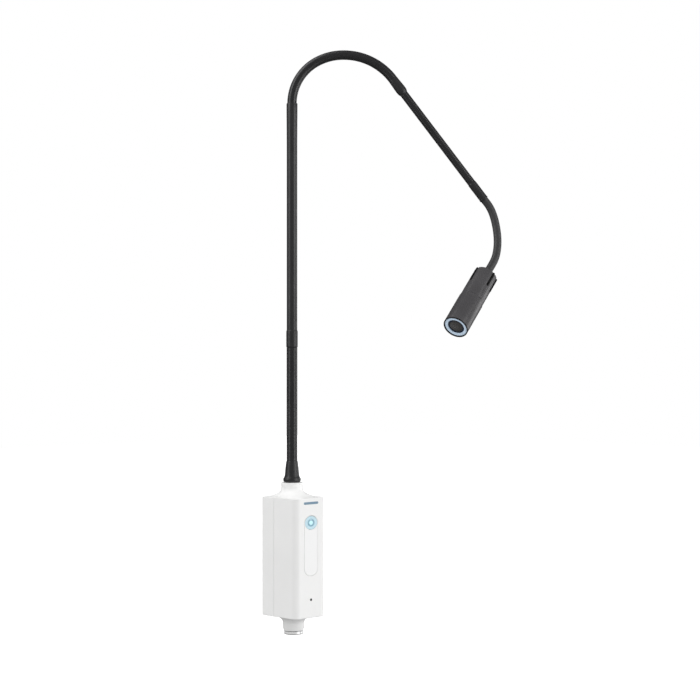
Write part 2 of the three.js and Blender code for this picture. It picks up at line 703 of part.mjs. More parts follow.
// Cutter for a slot of the rear shell. Its mouth flares, so the petals beside it have rounded corners.
function slotCutter(angle) {
  const half = BAR_WIDTH / 2 + GAP;
  const mouth = half + PETAL_CORNER;
  const shoulder = HEAD_REAR + PETAL_CORNER;
  const quarter = Math.PI / 2;
  const shape = new THREE.Shape();
  shape.moveTo(-half, BAR_END + GAP);
  shape.lineTo(-half, shoulder);
  shape.absarc(-mouth, shoulder, PETAL_CORNER, 0, -quarter, true);
  shape.lineTo(-mouth, HEAD_REAR - 1);
  shape.lineTo(mouth, HEAD_REAR - 1);
  shape.lineTo(mouth, HEAD_REAR);
  shape.absarc(mouth, shoulder, PETAL_CORNER, -quarter, -2 * quarter, true);
  shape.lineTo(half, BAR_END + GAP);
  const cutter = new THREE.ExtrudeGeometry(shape, { depth: 12, bevelEnabled: false, curveSegments: 4 });
  return cutter.rotateX(quarter).rotateZ(quarter).translate(12, 0, 0).rotateZ(rad(angle));
}

function addHead(lastFrame) {
  const head = new THREE.Group();
  head.position.z = END_PITCH / 2;
  lastFrame.add(head);

  const stemEnd = HEAD_REAR + 24;
  const stem = turned([
    ...ballEnd(END_LINK),
    [END_LINK.outer, END_PITCH / 2 + stemEnd],
    [0, END_PITCH / 2 + stemEnd],
  ], 16);
  addPart(lastFrame, 'head_stem', stem, BLACK_STEEL);

  const stemBore = END_LINK.outer + GAP;
  const capLow = HEAD_REAR + 2;
  const capHigh = capLow + 6;
  const cap = turnedRing([
    [stemBore, capLow],
    [8.5, capLow],
    [9.5, capLow + 3],
    [16.2, capLow + 3],
    [16.2, capHigh],
    [stemBore, capHigh],
  ]);
  addPart(head, 'rear_cap', cap, BLACK_PLASTIC);

  const coreRadius = 14.5;
  const coreLow = capHigh + GAP;
  const coreHigh = BARREL_START - 3;
  const core = turned([
    [stemBore, coreLow],
    [coreRadius, coreLow],
    [coreRadius, coreHigh],
    [0, coreHigh],
    [0, stemEnd + 1],
    [stemBore, stemEnd + 1],
    [stemBore, coreLow],
  ]);
  const barOuter = HEAD_RADIUS + 0.6;
  const bars = BAR_ANGLES.map((angle) => spoke(angle, BAR_WIDTH, coreRadius - 1, barOuter, coreLow, BAR_END));
  const barTips = BAR_ANGLES.map((angle) => spoke(angle, BAR_WIDTH, 16.6, barOuter, BAR_START, coreLow + 2));
  addPart(head, 'heat_sink', join(core, [...bars, ...barTips]), BLACK_STEEL);

  const tube = ring(16.5, HEAD_RADIUS, HEAD_REAR, BARREL_START - 1);
  addPart(head, 'head_rear_shell', cut(tube, BAR_ANGLES.map(slotCutter)), GREY_SHELL);

  const boardLow = coreHigh + GAP;
  const boardHigh = boardLow + BOARD_THICKNESS;
  addPart(head, 'led_board', disc(15.5, boardLow, boardHigh), ALUMINIUM);
  const emitterLow = boardHigh + GAP;
  const emitterHeight = 2.8;
  const emitter = turned([[0, 0], [3.5, 0], [3.5, 1], [2.6, 1], [2, 2.2], [0, emitterHeight]], 12);
  addPart(head, 'led_emitter', emitter.translate(0, 0, emitterLow), LED_YELLOW);

  const opticLow = emitterLow + emitterHeight + GAP;
  const opticTop = opticLow + 24;
  const optic = turned([
    [0, opticLow],
    [4.6, opticLow],
    [9.4, opticLow + 11],
    [12.4, opticTop],
    [0, opticTop],
  ]);
  addPart(head, 'collimator_optic', optic, CLEAR_OPTIC);

  const faceZ = HEAD_FRONT - 2.2; // the front face of the lens and of the light ring
  const holder = ring(12.7, 16.6, boardHigh + GAP, faceZ - 6);
  addPart(head, 'optic_holder', holder, BLACK_PLASTIC);

  const barrel = turnedRing([
    [17, BARREL_START],
    [HEAD_RADIUS + 0.1, BARREL_START],
    [BARREL_RADIUS, BARREL_START + 0.8],
    [BARREL_RADIUS, HEAD_FRONT - 2],
    [18.2, HEAD_FRONT - 2],
    [18.2, faceZ - 5.5],
    [17, faceZ - 5.5],
  ]);
  addPart(head, 'front_barrel', barrel, GREY_SHELL);

  addPart(head, 'light_ring', ring(12.9, 17.9, faceZ - 5, faceZ), RING_LIGHT);
  const lens = turned([[0, faceZ - 5], [12.5, faceZ - 5], [12.5, faceZ - 1], [8, faceZ - 0.3], [0, faceZ]]);
  addPart(head, 'centre_lens', lens, DARK_LENS);
  const bezel = turnedRing([
    [18.2, HEAD_FRONT - 2 + GAP],
    [BARREL_RADIUS, HEAD_FRONT - 2 + GAP],
    [BARREL_RADIUS - 0.3, HEAD_FRONT],
    [18.4, HEAD_FRONT],
  ]);
  addPart(head, 'front_bezel', bezel, BLACK_PLASTIC);
}

// ---------------------------------------------------------------- assembly

const lamp = new THREE.Group();
lamp.name = 'examination_lamp';

addShells(lamp);
addHousingScrews(lamp);
addStructure(lamp);
addElectronics(lamp);
addFrontPanel(lamp);
addInlet(lamp);

const arm = new THREE.Group();
arm.position.y = NECK_Y;
arm.rotation.z = rad(-ARM_TURN);
lamp.add(arm);

const couplingFrame = addLowerStage(arm);
const archFrame = addMiddleStage(couplingFrame);
const archEnd = addArch(archFrame);
const endFrame = addSlimStage(archEnd);
const headFrame = addEndStage(endFrame);
addHead(headFrame);

export default lamp;
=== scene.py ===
# Examination lamp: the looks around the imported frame. Metres, +Z up, the housing's front faces -Y.
import json
import math

import bmesh
import bpy
from mathutils import Matrix, Vector


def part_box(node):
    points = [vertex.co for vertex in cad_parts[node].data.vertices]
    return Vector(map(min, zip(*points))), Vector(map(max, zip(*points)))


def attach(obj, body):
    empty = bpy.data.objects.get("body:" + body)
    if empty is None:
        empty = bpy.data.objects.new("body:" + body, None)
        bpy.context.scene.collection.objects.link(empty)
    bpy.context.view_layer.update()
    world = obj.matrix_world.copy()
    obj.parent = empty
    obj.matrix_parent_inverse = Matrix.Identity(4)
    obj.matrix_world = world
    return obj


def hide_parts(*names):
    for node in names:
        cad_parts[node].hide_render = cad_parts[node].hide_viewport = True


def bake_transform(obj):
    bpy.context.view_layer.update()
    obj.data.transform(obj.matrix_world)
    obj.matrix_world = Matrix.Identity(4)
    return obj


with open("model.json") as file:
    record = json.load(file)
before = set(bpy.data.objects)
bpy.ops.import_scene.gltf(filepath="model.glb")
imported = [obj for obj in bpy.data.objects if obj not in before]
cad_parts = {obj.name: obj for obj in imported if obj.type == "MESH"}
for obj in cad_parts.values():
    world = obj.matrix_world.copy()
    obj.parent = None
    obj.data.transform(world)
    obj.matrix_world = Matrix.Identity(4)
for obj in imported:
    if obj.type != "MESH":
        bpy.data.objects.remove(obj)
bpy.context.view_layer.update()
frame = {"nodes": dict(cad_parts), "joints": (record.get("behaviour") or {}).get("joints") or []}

joints = {joint["name"]: joint for joint in frame["joints"]}
MM = 0.001
TINY = 1e-7
UP = Vector((0, 0, 1))


# ------------------------------------------------------------------ places from the frame

def hinge(name):
    return Vector(joints[name]["pos_m"])


def box_middle(node):
    low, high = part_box(node)
    return (low + high) / 2


def centre(node):
    """Mean of a node's vertices, which lies on the axis of a turned piece."""
    vertices = frame["nodes"][node].data.vertices
    return sum((vertex.co for vertex in vertices), Vector()) / len(vertices)


def stage_hinges(stage, last):
    """Names of a flexible stage's joints from its root to its end, bending and swaying by turns."""
    names = []
    number = 1
    while True:
        suffix = "" if number == 1 else f"_{number}"
        for motion in ("bend", "sway"):
            names.append(f"{stage}_{motion}{suffix}")
            if names[-1] == last:
                return names
        number += 1


LOWER = stage_hinges("lower", "lower_sway_2")
ARCH = stage_hinges("arch", "arch_bend_6")
SLIM = stage_hinges("slim", "slim_sway")
END = stage_hinges("end", "end_sway_3")


# ------------------------------------------------------------------ driving dimensions

# Housing
SHELL_LOW, SHELL_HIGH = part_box("housing_front")
REAR_LOW, REAR_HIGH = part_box("housing_rear")
HALF_WIDTH = SHELL_HIGH.x
FRONT_Y = SHELL_LOW.y
REAR_Y = REAR_HIGH.y
SEAM_Y = (SHELL_HIGH.y + REAR_LOW.y) / 2
SEAM_GAP = 0.5 * MM
INLET_FLANGE = 3 * MM
COLLAR_BOTTOM = SHELL_LOW.z
NECK_TOP = SHELL_HIGH.z
BOX_BOTTOM = 28.5 * MM
BOX_TOP = 212 * MM
FRONT_CORNER = 10 * MM
REAR_CORNER = 5 * MM
WALL = 2.4 * MM
COLLAR_RADIUS = 16.5 * MM
COLLAR_LIP = 15.3 * MM
NECK_RADIUS = 16.8 * MM
ARM_X = hinge("lower_bend").x
ARM_Y = hinge("lower_bend").y

# Arm radii
LOWER_RADIUS = 8.4 * MM
ARCH_RADIUS = 7.35 * MM
SLIM_RADIUS = 6.3 * MM
END_RADIUS = 6.1 * MM
TUBE_RADIUS = 8.15 * MM
COUPLING_RADIUS = 8.9 * MM
HOSE_PITCH = 2.1 * MM
SLIM_PITCH = 2.8 * MM
WHOLE_PIECE = 1.0  # a reach longer than any piece of a sleeve

# View
VIEW_TURN = math.radians(44)  # the camera stands this far round from the front, towards -X
VIEW_DISTANCE = 2.7
VIEW_HEIGHT = 0.439
VIEW_SIDE = 0.0899
VIEW_LENS = 89.6  # on a 36 mm sensor

# Studio light
WORLD_LIGHT = 0.83
WORLD_LIGHT_BELOW = 0.46
WORLD_REFLECTION = 0.05
SOFTBOXES = [  # name, metres to the viewer's right, towards the viewer and up, width and height, watts
    ("right_softbox", 2.2, 0.95, 0.64, (1.5, 2.4), 29),
    ("left_softbox", -2.2, 1.15, 1.4, (1.1, 2.6), 22),
    ("top_softbox", -1.4, 0.1, 2.6, (1.8, 1.8), 20),
    ("rim_softbox", 1.95, -1.1, 0.3, (0.9, 1.6), 7),
]


# ------------------------------------------------------------------ materials

def set_sockets(node, **values):
    """Sets the node's inputs by name, with an underscore for each space."""
    for socket, value in values.items():
        node.inputs[socket.replace("_", " ")].default_value = value
    return node


class Look:
    """A Principled material with helpers for procedural colour, roughness and relief."""

    def __init__(self, name, color, roughness, metallic=0.0, **sockets):
        self.material = bpy.data.materials.new(name)
        self.material.use_nodes = True
        self.nodes = self.material.node_tree.nodes
        self.link = self.material.node_tree.links.new
        self.shader = self.nodes["Principled BSDF"]
        set_sockets(self.shader, Base_Color=(*color, 1), Roughness=roughness, Metallic=metallic, **sockets)
        self.color = color
        self.roughness = roughness
        self.place = self.nodes.new("ShaderNodeTexCoord").outputs["Object"]

    def noise(self, scale, detail=3.0, stretch=(1, 1, 1)):
        mapping = set_sockets(self.nodes.new("ShaderNodeMapping"), Scale=stretch)
        noise = set_sockets(self.nodes.new("ShaderNodeTexNoise"), Scale=scale, Detail=detail)
        self.link(self.place, mapping.inputs["Vector"])
        self.link(mapping.outputs["Vector"], noise.inputs["Vector"])
        return noise.outputs["Fac"]

    def remap(self, noise, low, high):
        """Spreads the noise, which keeps near its middle, from low to high."""
        spread = self.nodes.new("ShaderNodeMapRange")
        set_sockets(spread, From_Min=0.3, From_Max=0.7, To_Min=low, To_Max=high)
        self.link(noise, spread.inputs["Value"])
        return spread.outputs["Result"]

    def vary_color(self, noise, tint):
        """Mixes in the base colour times tint."""
        mix = self.nodes.new("ShaderNodeMix")
        mix.data_type = "RGBA"
        set_sockets(mix, A=(*self.color, 1), B=(*(channel * tint for channel in self.color), 1))
        self.link(self.remap(noise, 0, 1), mix.inputs["Factor"])
        self.link(mix.outputs["Result"], self.shader.inputs["Base Color"])

    def vary_roughness(self, noise, spread):
        result = self.remap(noise, self.roughness - spread, self.roughness + spread)
        self.link(result, self.shader.inputs["Roughness"])

    def relief(self, height, depth, strength):
        bump = set_sockets(self.nodes.new("ShaderNodeBump"), Strength=strength, Distance=depth)
        self.link(height, bump.inputs["Height"])
        self.link(bump.outputs["Normal"], self.shader.inputs["Normal"])


def moulded(name, color, roughness, grain_scale=1400, grain_depth=0.02 * MM, tint=0.97, **sockets):
    """Moulded plastic: fine spark-eroded grain, slightly uneven gloss and shade."""
    look = Look(name, color, roughness, **sockets)
    look.vary_color(look.noise(18, 2), tint)
    look.vary_roughness(look.noise(60, 4), 0.04)
    look.relief(look.noise(grain_scale, 2), grain_depth, 0.5)
    return look.material


def painted(name, color, roughness, **sockets):
    """Powder-coated or painted metal: orange peel and slightly uneven gloss."""
    look = Look(name, color, roughness, **sockets)
    look.vary_color(look.noise(25), 1.25)
    look.vary_roughness(look.noise(90, 4), 0.05)
    look.relief(look.noise(700), 0.015 * MM, 0.6)
    return look.material


def metal(name, color, roughness, stretch=(1, 1, 1), scale=900, depth=0.006 * MM, metallic=1.0):
    """Bare metal with fine machining or rolling lines along the short direction of the stretch."""
    look = Look(name, color, roughness, metallic)
    lines = look.noise(scale, 3, stretch)
    look.vary_color(look.noise(35), 0.93)
    look.vary_roughness(lines, 0.05)
    look.relief(lines, depth, 0.4)
    return look.material


WHITE_SHELL = moulded("white_shell", (0.83, 0.83, 0.825), 0.42)
OVERLAY_FILM = moulded("overlay_film", (0.84, 0.84, 0.84), 0.34, grain_depth=0.008 * MM, tint=0.995)
BUTTON_BLUE = moulded(
    "button_blue", (0.5, 0.68, 0.76), 0.3, grain_depth=0.004 * MM,
    Emission_Color=(0.5, 0.8, 0.95, 1), Emission_Strength=0.04,
)
BUTTON_RIM = moulded("button_rim", (0.36, 0.46, 0.55), 0.35, grain_depth=0.004 * MM)
BUTTON_MARK = moulded("button_mark", (0.22, 0.42, 0.53), 0.3, grain_depth=0.004 * MM)
BUTTON_GLOW = moulded(
    "button_glow", (0.58, 0.88, 0.95), 0.25, grain_depth=0.004 * MM,
    Emission_Color=(0.55, 0.9, 1.0, 1), Emission_Strength=0.1,
)
WINDOW_BLACK = moulded(
    "window_black", (0.003, 0.003, 0.004), 0.2, grain_depth=0.002 * MM, Specular_IOR_Level=0.3,
)
NAME_BAR = moulded("name_bar", (0.16, 0.27, 0.36), 0.35, grain_depth=0.004 * MM)
INLET_BLACK = moulded("inlet_black", (0.02, 0.02, 0.021), 0.45)
PIN_NICKEL = metal("pin_nickel", (0.66, 0.64, 0.6), 0.28)
SCREW_ZINC = metal("screw_zinc", (0.5, 0.5, 0.52), 0.32)
# Painted reflection: the polished socket gets a near-white base with little metallic, so its colour stands in
# for the white studio that it mirrors.
SOCKET_POLISH_PAINTED_REFLECTION = metal("socket_polish_painted_reflection", (0.92, 0.92, 0.92), 0.16, (1, 1, 14), 500, 0.003 * MM, 0.2)
# Painted shade: dark grey for the shadow line under the collar's lip and the dark reflection along the
# socket's bottom edge.
SOCKET_PAINTED_SHADE = metal("socket_painted_shade", (0.2, 0.2, 0.21), 0.3)
BOOT_RUBBER = moulded("boot_rubber", (0.02, 0.02, 0.021), 0.38, 900, 0.03 * MM, 1.3)
GOOSENECK_BLACK = painted("gooseneck_black", (0.021, 0.021, 0.022), 0.26)
TUBE_BLACK = painted("tube_black", (0.024, 0.024, 0.025), 0.36)
COUPLING_BLACK = painted("coupling_black", (0.022, 0.022, 0.023), 0.38)
END_CHARCOAL = painted("end_charcoal", (0.034, 0.034, 0.035), 0.5)
HEAD_CHARCOAL = painted("head_charcoal", (0.056, 0.054, 0.057), 0.32)
HEAD_BLACK = moulded("head_black", (0.006, 0.006, 0.007), 0.5, Specular_IOR_Level=0.3)
SINK_BLACK = painted("sink_black", (0.004, 0.004, 0.0042), 0.7, Specular_IOR_Level=0.15)
RING_BLUE = moulded(
    "ring_blue", (0.6, 0.73, 0.88), 0.22, grain_depth=0.004 * MM, Coat_Weight=0.4,
    Emission_Color=(0.6, 0.78, 0.95, 1), Emission_Strength=0.12,
)
LENS_DARK = moulded("lens_dark", (0.068, 0.066, 0.064), 0.24, grain_depth=0.001 * MM)
LENS_EDGE = moulded("lens_edge", (0.012, 0.02, 0.045), 0.2, grain_depth=0.001 * MM)


# ------------------------------------------------------------------ mesh helpers

def mesh_from(name, bm):
    mesh = bpy.data.meshes.new(name)
    bm.to_mesh(mesh)
    bm.free()
    return mesh


def temporary(mesh):
    piece = bpy.data.objects.new(mesh.name, mesh)
    bpy.context.collection.objects.link(piece)
    return piece


def finish(piece, name, material, slot, body=None, nodes=(), angle=35, flat=False):
    """Names and shades the piece, puts it on its body and hides the CAD nodes that it stands for. The slot is
    not used.
    """
    piece.name = name
    piece.data.materials.clear()
    piece.data.materials.append(material)
    piece.data.shade_smooth()
    piece.data.set_sharp_from_angle(angle=math.radians(angle))
    if flat:
        flatten_shading(piece)
    if body:
        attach(piece, body)
    if nodes:
        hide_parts(*nodes)
    return piece


def add_piece(name, mesh, *look_and_place, **options):
    """A piece from a mesh that is ready. The rest is as finish takes it, from the material on."""
    return finish(temporary(mesh), name, *look_and_place, **options)


def frame_along(origin, axis, side):
    """Matrix that takes local +Z to the axis and local +X to the part of side that is across it."""
    z = axis.normalized()
    x = (side - z * side.dot(z)).normalized()
    return Matrix.Translation(origin) @ Matrix((x, z.cross(x), z)).transposed().to_4x4()


def rings_to_mesh(name, rings, closed=False):
    """Tube through rings of points that all have one count. Its ends are filled, or meet if it is closed."""
    bm = bmesh.new()
    rows = [[bm.verts.new(point) for point in ring] for ring in rings]
    count = len(rows[0])
    for low, high in zip(rows, rows[1:] + (rows[:1] if closed else [])):
        for i in range(count):
            bm.faces.new((low[i], low[(i + 1) % count], high[(i + 1) % count], high[i]))
    if not closed:
        bm.faces.new(reversed(rows[0]))
        bm.faces.new(rows[-1])
    return mesh_from(name, bm)


def turned_mesh(name, profile, place, sides=96, tube=False):
    """Turned solid from [radius, height] points up its outside, which start and end on the axis.

    The profile of a tube closes on itself instead."""
    bm = bmesh.new()
    angles = [2 * math.pi * i / sides for i in range(sides)]
    rows = []
    for radius, height in profile:
        around = angles if radius > TINY else [0.0]
        rows.append([
            bm.verts.new(place @ Vector((radius * math.cos(a), radius * math.sin(a), height))) for a in around
        ])
    for low, high in zip(rows, rows[1:] + (rows[:1] if tube else [])):
        for i in range(sides):
            j = (i + 1) % sides
            corners = [low[i % len(low)], low[j % len(low)], high[j % len(high)], high[i % len(high)]]
            face = list(dict.fromkeys(corners))
            if len(face) > 2:
                bm.faces.new(face)
    bm.normal_update()
    return mesh_from(name, bm)


def turned_piece(name, profile, place, *look_and_place, sides=96, tube=False, angle=30):
    mesh = turned_mesh(name, profile, place, sides, tube)
    return add_piece(name, mesh, *look_and_place, angle=angle)


def from_millimetres(profile, base=0.0):
    """The profile in metres, with its heights counted from the base."""
    return [(radius * MM, base + rise * MM) for radius, rise in profile]


def rounded(profile, radius, steps=4):
    """The profile with its corners rounded off. Corners too close together get a smaller radius."""
    result = [profile[0]]
    for before, corner, after in zip(profile, profile[1:], profile[2:]):
        b, c, a = Vector(before), Vector(corner), Vector(after)
        to_before, to_after = b - c, a - c
        bend = to_before.angle(to_after, math.pi)
        reach = min(radius, 0.45 * to_before.length, 0.45 * to_after.length)
        if abs(bend - math.pi) < 0.05 or reach < TINY:
            result.append(tuple(c))
            continue
        start = c + to_before.normalized() * reach
        end = c + to_after.normalized() * reach
        for i in range(steps + 1):
            t = i / steps
            result.append(tuple(start * (1 - t) ** 2 + c * 2 * t * (1 - t) + end * t * t))
    result.append(profile[-1])
    return result


def arc_outline(middle, reach, start, sweep, steps):
    """Points of an elliptical arc about the middle, both ends included."""
    angles = [start + sweep * i / steps for i in range(steps + 1)]
    return [(middle[0] + reach[0] * math.cos(a), middle[1] + reach[1] * math.sin(a)) for a in angles]


def block_mesh(name, low, high):
    bm = bmesh.new()
    bmesh.ops.create_cube(bm, size=1)
    size = Vector(high) - Vector(low)
    middle = (Vector(high) + Vector(low)) / 2
    bmesh.ops.transform(bm, verts=bm.verts, matrix=Matrix.Translation(middle) @ Matrix.Diagonal((*size, 1)))
    return mesh_from(name, bm)


def outline_prism(name, outline, low_y, high_y):
    """Prism along Y from an outline of (x, z) points that runs anticlockwise as seen from the front."""
    rings = [[Vector((x, y, z)) for x, z in outline] for y in (high_y, low_y)]
    return rings_to_mesh(name, rings)


def apply_modifiers(piece):
    graph = bpy.context.evaluated_depsgraph_get()
    mesh = bpy.data.meshes.new_from_object(piece.evaluated_get(graph))
    old = piece.data
    piece.modifiers.clear()
    piece.data = mesh
    bpy.data.meshes.remove(old)


def boolean(piece, operation, tool_meshes):
    """Exact boolean of the piece with each tool in turn. The tools are used up."""
    for mesh in tool_meshes:
        tool = temporary(mesh)
        modifier = piece.modifiers.new("boolean", "BOOLEAN")
        modifier.operation = operation
        modifier.solver = "EXACT"
        modifier.object = tool
        apply_modifiers(piece)
        bpy.data.objects.remove(tool)
        bpy.data.meshes.remove(mesh)


def soften(piece, width, segments=2, angle=40):
    """Small round on every edge sharper than the angle."""
    modifier = piece.modifiers.new("edges", "BEVEL")
    modifier.width = width
    modifier.segments = segments
    modifier.limit_method = "ANGLE"
    modifier.angle_limit = math.radians(angle)
    modifier.miter_outer = "MITER_ARC"
    apply_modifiers(piece)


def flatten_shading(piece):
    """Shades large flat faces flat, so that only the small rounds between them blend."""
    modifier = piece.modifiers.new("normals", "WEIGHTED_NORMAL")
    modifier.mode = "FACE_AREA_WITH_ANGLE"
    modifier.weight = 100
    modifier.keep_sharp = True
    apply_modifiers(piece)


# ------------------------------------------------------------------ housing shells

CORNER_STEPS = 10
SIDE_STEPS = 14
BOX_EDGE = 0.9 * MM  # round of the box's lower and upper edges


def box_outline(inset=0.0):
    """Rounded rectangle of the housing's section, anticlockwise from above, the front corners rounder."""
    half_depth = (REAR_Y - FRONT_Y) / 2 - inset
    half_width = HALF_WIDTH - inset
    corners = [(1, 1, REAR_CORNER), (-1, 1, REAR_CORNER), (-1, -1, FRONT_CORNER), (1, -1, FRONT_CORNER)]
    arcs = []
    for quarter, (side_x, side_y, corner) in enumerate(corners):
        radius = corner - inset
        middle = (side_x * (half_width - radius), side_y * (half_depth - radius))
        corner_arc = arc_outline(middle, (radius, radius), quarter * math.pi / 2, math.pi / 2, CORNER_STEPS)
        arcs.append([Vector(point) for point in corner_arc])
    points = []
    for arc, following in zip(arcs, arcs[1:] + arcs[:1]):
        points += arc
        points += [arc[-1].lerp(following[0], i / SIDE_STEPS) for i in range(1, SIDE_STEPS)]
    return points


def sweep_levels(start, end, radius, centre_y, power, steps=14):
    """Levels of the concave sweep from the box's edge (spread 1) to the round collar or neck (spread 0)."""
    shares = [i / steps for i in range(steps + 1)]
    return [(start + (end - start) * t ** power, (1 - t) ** power, radius, centre_y) for t in shares]


def housing_levels():
    levels = [
        (COLLAR_BOTTOM, 0, COLLAR_LIP - 0.25 * MM, 0),
        (COLLAR_BOTTOM + 0.3 * MM, 0, COLLAR_LIP, 0),
        (10 * MM, 0, COLLAR_RADIUS, 0),
    ]
    levels += reversed(sweep_levels(BOX_BOTTOM - 0.1 * MM, 16.5 * MM, COLLAR_RADIUS, 0, 2.05))
    turns = [i / 4 * math.pi / 2 for i in range(5)]
    drops = [(BOX_EDGE * (1 - math.cos(turn)), BOX_EDGE * (1 - math.sin(turn))) for turn in turns]
    levels += [(BOX_BOTTOM + near, 1, far, None) for near, far in drops[1:]]
    levels += [(BOX_TOP - far, 1, near, None) for near, far in drops]
    levels += sweep_levels(BOX_TOP + 0.1 * MM, 225 * MM, NECK_RADIUS, ARM_Y, 1.7)
    for groove in (227 * MM, 231.4 * MM):
        for rise, depth in ((-0.35, 0), (-0.15, 0.22), (0.15, 0.22), (0.35, 0)):
            levels.append((groove + rise * MM, 0, NECK_RADIUS - depth * MM, ARM_Y))
    levels += [
        (NECK_TOP - 0.6 * MM, 0, NECK_RADIUS, ARM_Y),
        (NECK_TOP - 0.15 * MM, 0, NECK_RADIUS - 0.2 * MM, ARM_Y),
        (NECK_TOP, 0, NECK_RADIUS - 0.7 * MM, ARM_Y),
    ]
    return levels


def housing_rings():
    outline = box_outline()
    inner = box_outline(BOX_EDGE)
    rings = []
    for height, spread, radius, centre_y in housing_levels():
        ring = []
        for point, inset_point in zip(outline, inner):
            if centre_y is None:  # on the box itself; radius is how far this level lies inside the outline
                place = point.lerp(inset_point, radius / BOX_EDGE)
            else:
                middle = Vector((0, centre_y))
                away = inset_point - middle
                place = middle + away.normalized() * radius * (1 - spread) + away * spread
            ring.append(Vector((place.x, place.y, height)))
        rings.append(ring)
    return rings


def facing_rear(x, z):
    """Matrix that takes local +Z to +Y, at the given place on the housing."""
    return Matrix.Translation((x, 0, z)) @ Matrix.Rotation(-math.pi / 2, 4, "X")


def round_tool(radius, low, high, place, sides=48):
    """Cutter for a round hole, from low to high along the place's own Z."""
    return turned_mesh("tool", [(0, low), (radius, low), (radius, high), (0, high)], place, sides)


def stadium(low, high, growth=0.0, steps=28):
    """Upright outline with elliptical ends, in x and z, from a box's corners."""
    half_width = (high.x - low.x) / 2 + growth
    end = 11.6 * MM + growth
    upper, lower = high.z + growth - end, low.z - growth + end
    reach = (half_width, end)
    top = arc_outline((0, upper), reach, 0, math.pi, steps)
    return top + arc_outline((0, lower), reach, math.pi, math.pi, steps)


def oval(low, high, growth=0.0, steps=96):
    """Outline of the ellipse in a box, in x and z."""
    middle = (low + high) / 2
    reach = ((high.x - low.x) / 2 + growth, (high.z - low.z) / 2 + growth)
    return arc_outline((middle.x, middle.z), reach, 0, 2 * math.pi, steps)[:-1]


PANEL_LOW, PANEL_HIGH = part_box("front_overlay")
CAP_LOW, CAP_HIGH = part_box("power_button")
SKIRT = 1.2 * MM  # the button's skirt behind the wall is this much wider than its cap
BUTTON_LOW = CAP_LOW + Vector((SKIRT, 0, SKIRT))
BUTTON_HIGH = CAP_HIGH - Vector((SKIRT, 0, SKIRT))
RECESS_GAP = 0.35 * MM
WINDOW_RADIUS = 1.9 * MM


def flared_tool(outline_at, bottom_y):
    """Cutter for a recess in the front, with a small chamfer at its mouth."""
    chamfer = 0.05 * MM
    reach = MM
    mouth = RECESS_GAP + chamfer + reach
    levels = [(bottom_y, RECESS_GAP), (FRONT_Y + chamfer, RECESS_GAP), (FRONT_Y - reach, mouth)]
    rings = [[Vector((x, y, z)) for x, z in outline_at(growth)] for y, growth in levels]
    return rings_to_mesh("tool", rings)


def build_shells():
    front = temporary(rings_to_mesh("housing_skin", housing_rings()))
    cavity = [
        [Vector((point.x, point.y, height)) for point in box_outline(WALL)]
        for height in (BOX_BOTTOM + WALL, BOX_TOP - WALL)
    ]
    socket_hole, arm_hole, screw_hole = 14.7 * MM, 8.3 * MM, 3.6 * MM
    arm_place = Matrix.Translation((ARM_X, ARM_Y, 0))
    boolean(front, "DIFFERENCE", [
        rings_to_mesh("tool", cavity),
        round_tool(socket_hole, 0, BOX_BOTTOM + 2 * WALL, Matrix(), 96),
        round_tool(NECK_RADIUS - WALL, BOX_TOP - 2 * WALL, NECK_TOP - WALL, arm_place, 96),
        round_tool(arm_hole, NECK_TOP - 2 * WALL, NECK_TOP + MM, arm_place, 96),
    ])
    rear = temporary(front.data.copy())
    far = 0.5
    half_gap = SEAM_GAP / 2
    boolean(front, "DIFFERENCE", [block_mesh("tool", (-far, SEAM_Y - half_gap, -far), (far, far, far))])
    boolean(rear, "DIFFERENCE", [block_mesh("tool", (-far, -far, -far), (far, SEAM_Y + half_gap, far))])

    low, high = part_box("inlet_body")
    inset = INLET_FLANGE - 0.3 * MM
    boolean(rear, "DIFFERENCE", [block_mesh(
        "tool", (low.x + inset, REAR_Y - 2 * WALL, low.z + inset),
        (high.x - inset, REAR_Y + MM, high.z - inset),
    )])
    screws = [box_middle(f"housing_screw_{number}") for number in range(1, 5)]
    boolean(rear, "DIFFERENCE", [
        round_tool(screw_hole, REAR_Y - 2.2 * MM, REAR_Y + MM, facing_rear(screw.x, screw.z))
        for screw in screws
    ])
    for piece in (front, rear):
        soften(piece, 0.22 * MM, 2, 50)
    window_place = facing_rear(0, box_middle("sensor_window").z)
    boolean(front, "DIFFERENCE", [
        flared_tool(lambda growth: stadium(PANEL_LOW, PANEL_HIGH, growth), FRONT_Y + WALL - 0.3 * MM),
        outline_prism("tool", oval(BUTTON_LOW, BUTTON_HIGH, RECESS_GAP), FRONT_Y - MM, FRONT_Y + 2 * WALL),
        round_tool(WINDOW_RADIUS + 0.15 * MM, FRONT_Y - MM, FRONT_Y + 2 * WALL, window_place),
    ])
    for piece, node in ((front, "housing_front"), (rear, "housing_rear")):
        finish(piece, f"{node}_skin", WHITE_SHELL, "white_shell", "housing", [node], 32, flat=True)


# ------------------------------------------------------------------ front panel and button

def dished_prism(name, outline_at, face_y, back_y, edge, dish=0.0):
    """Plate with a rounded front edge. Its face sinks by dish towards the middle."""
    rim = [Vector(point) for point in outline_at(-edge)]
    middle = sum(rim, Vector((0, 0))) / len(rim)
    rings = [[Vector((x, back_y, z)) for x, z in outline_at(0.0)]]
    for i in range(6):
        turn = i / 5 * math.pi / 2
        y = face_y + edge * (1 - math.sin(turn))
        rings.append([Vector((x, y, z)) for x, z in outline_at(-edge * (1 - math.cos(turn)))])
    for i in range(1, 9):
        t = i / 9
        y = face_y + dish * math.sin(t * math.pi / 2) ** 2
        inner = [middle.lerp(point, 1 - t) for point in rim]
        rings.append([Vector((place.x, y, place.y)) for place in inner])
    return rings_to_mesh(name, rings)


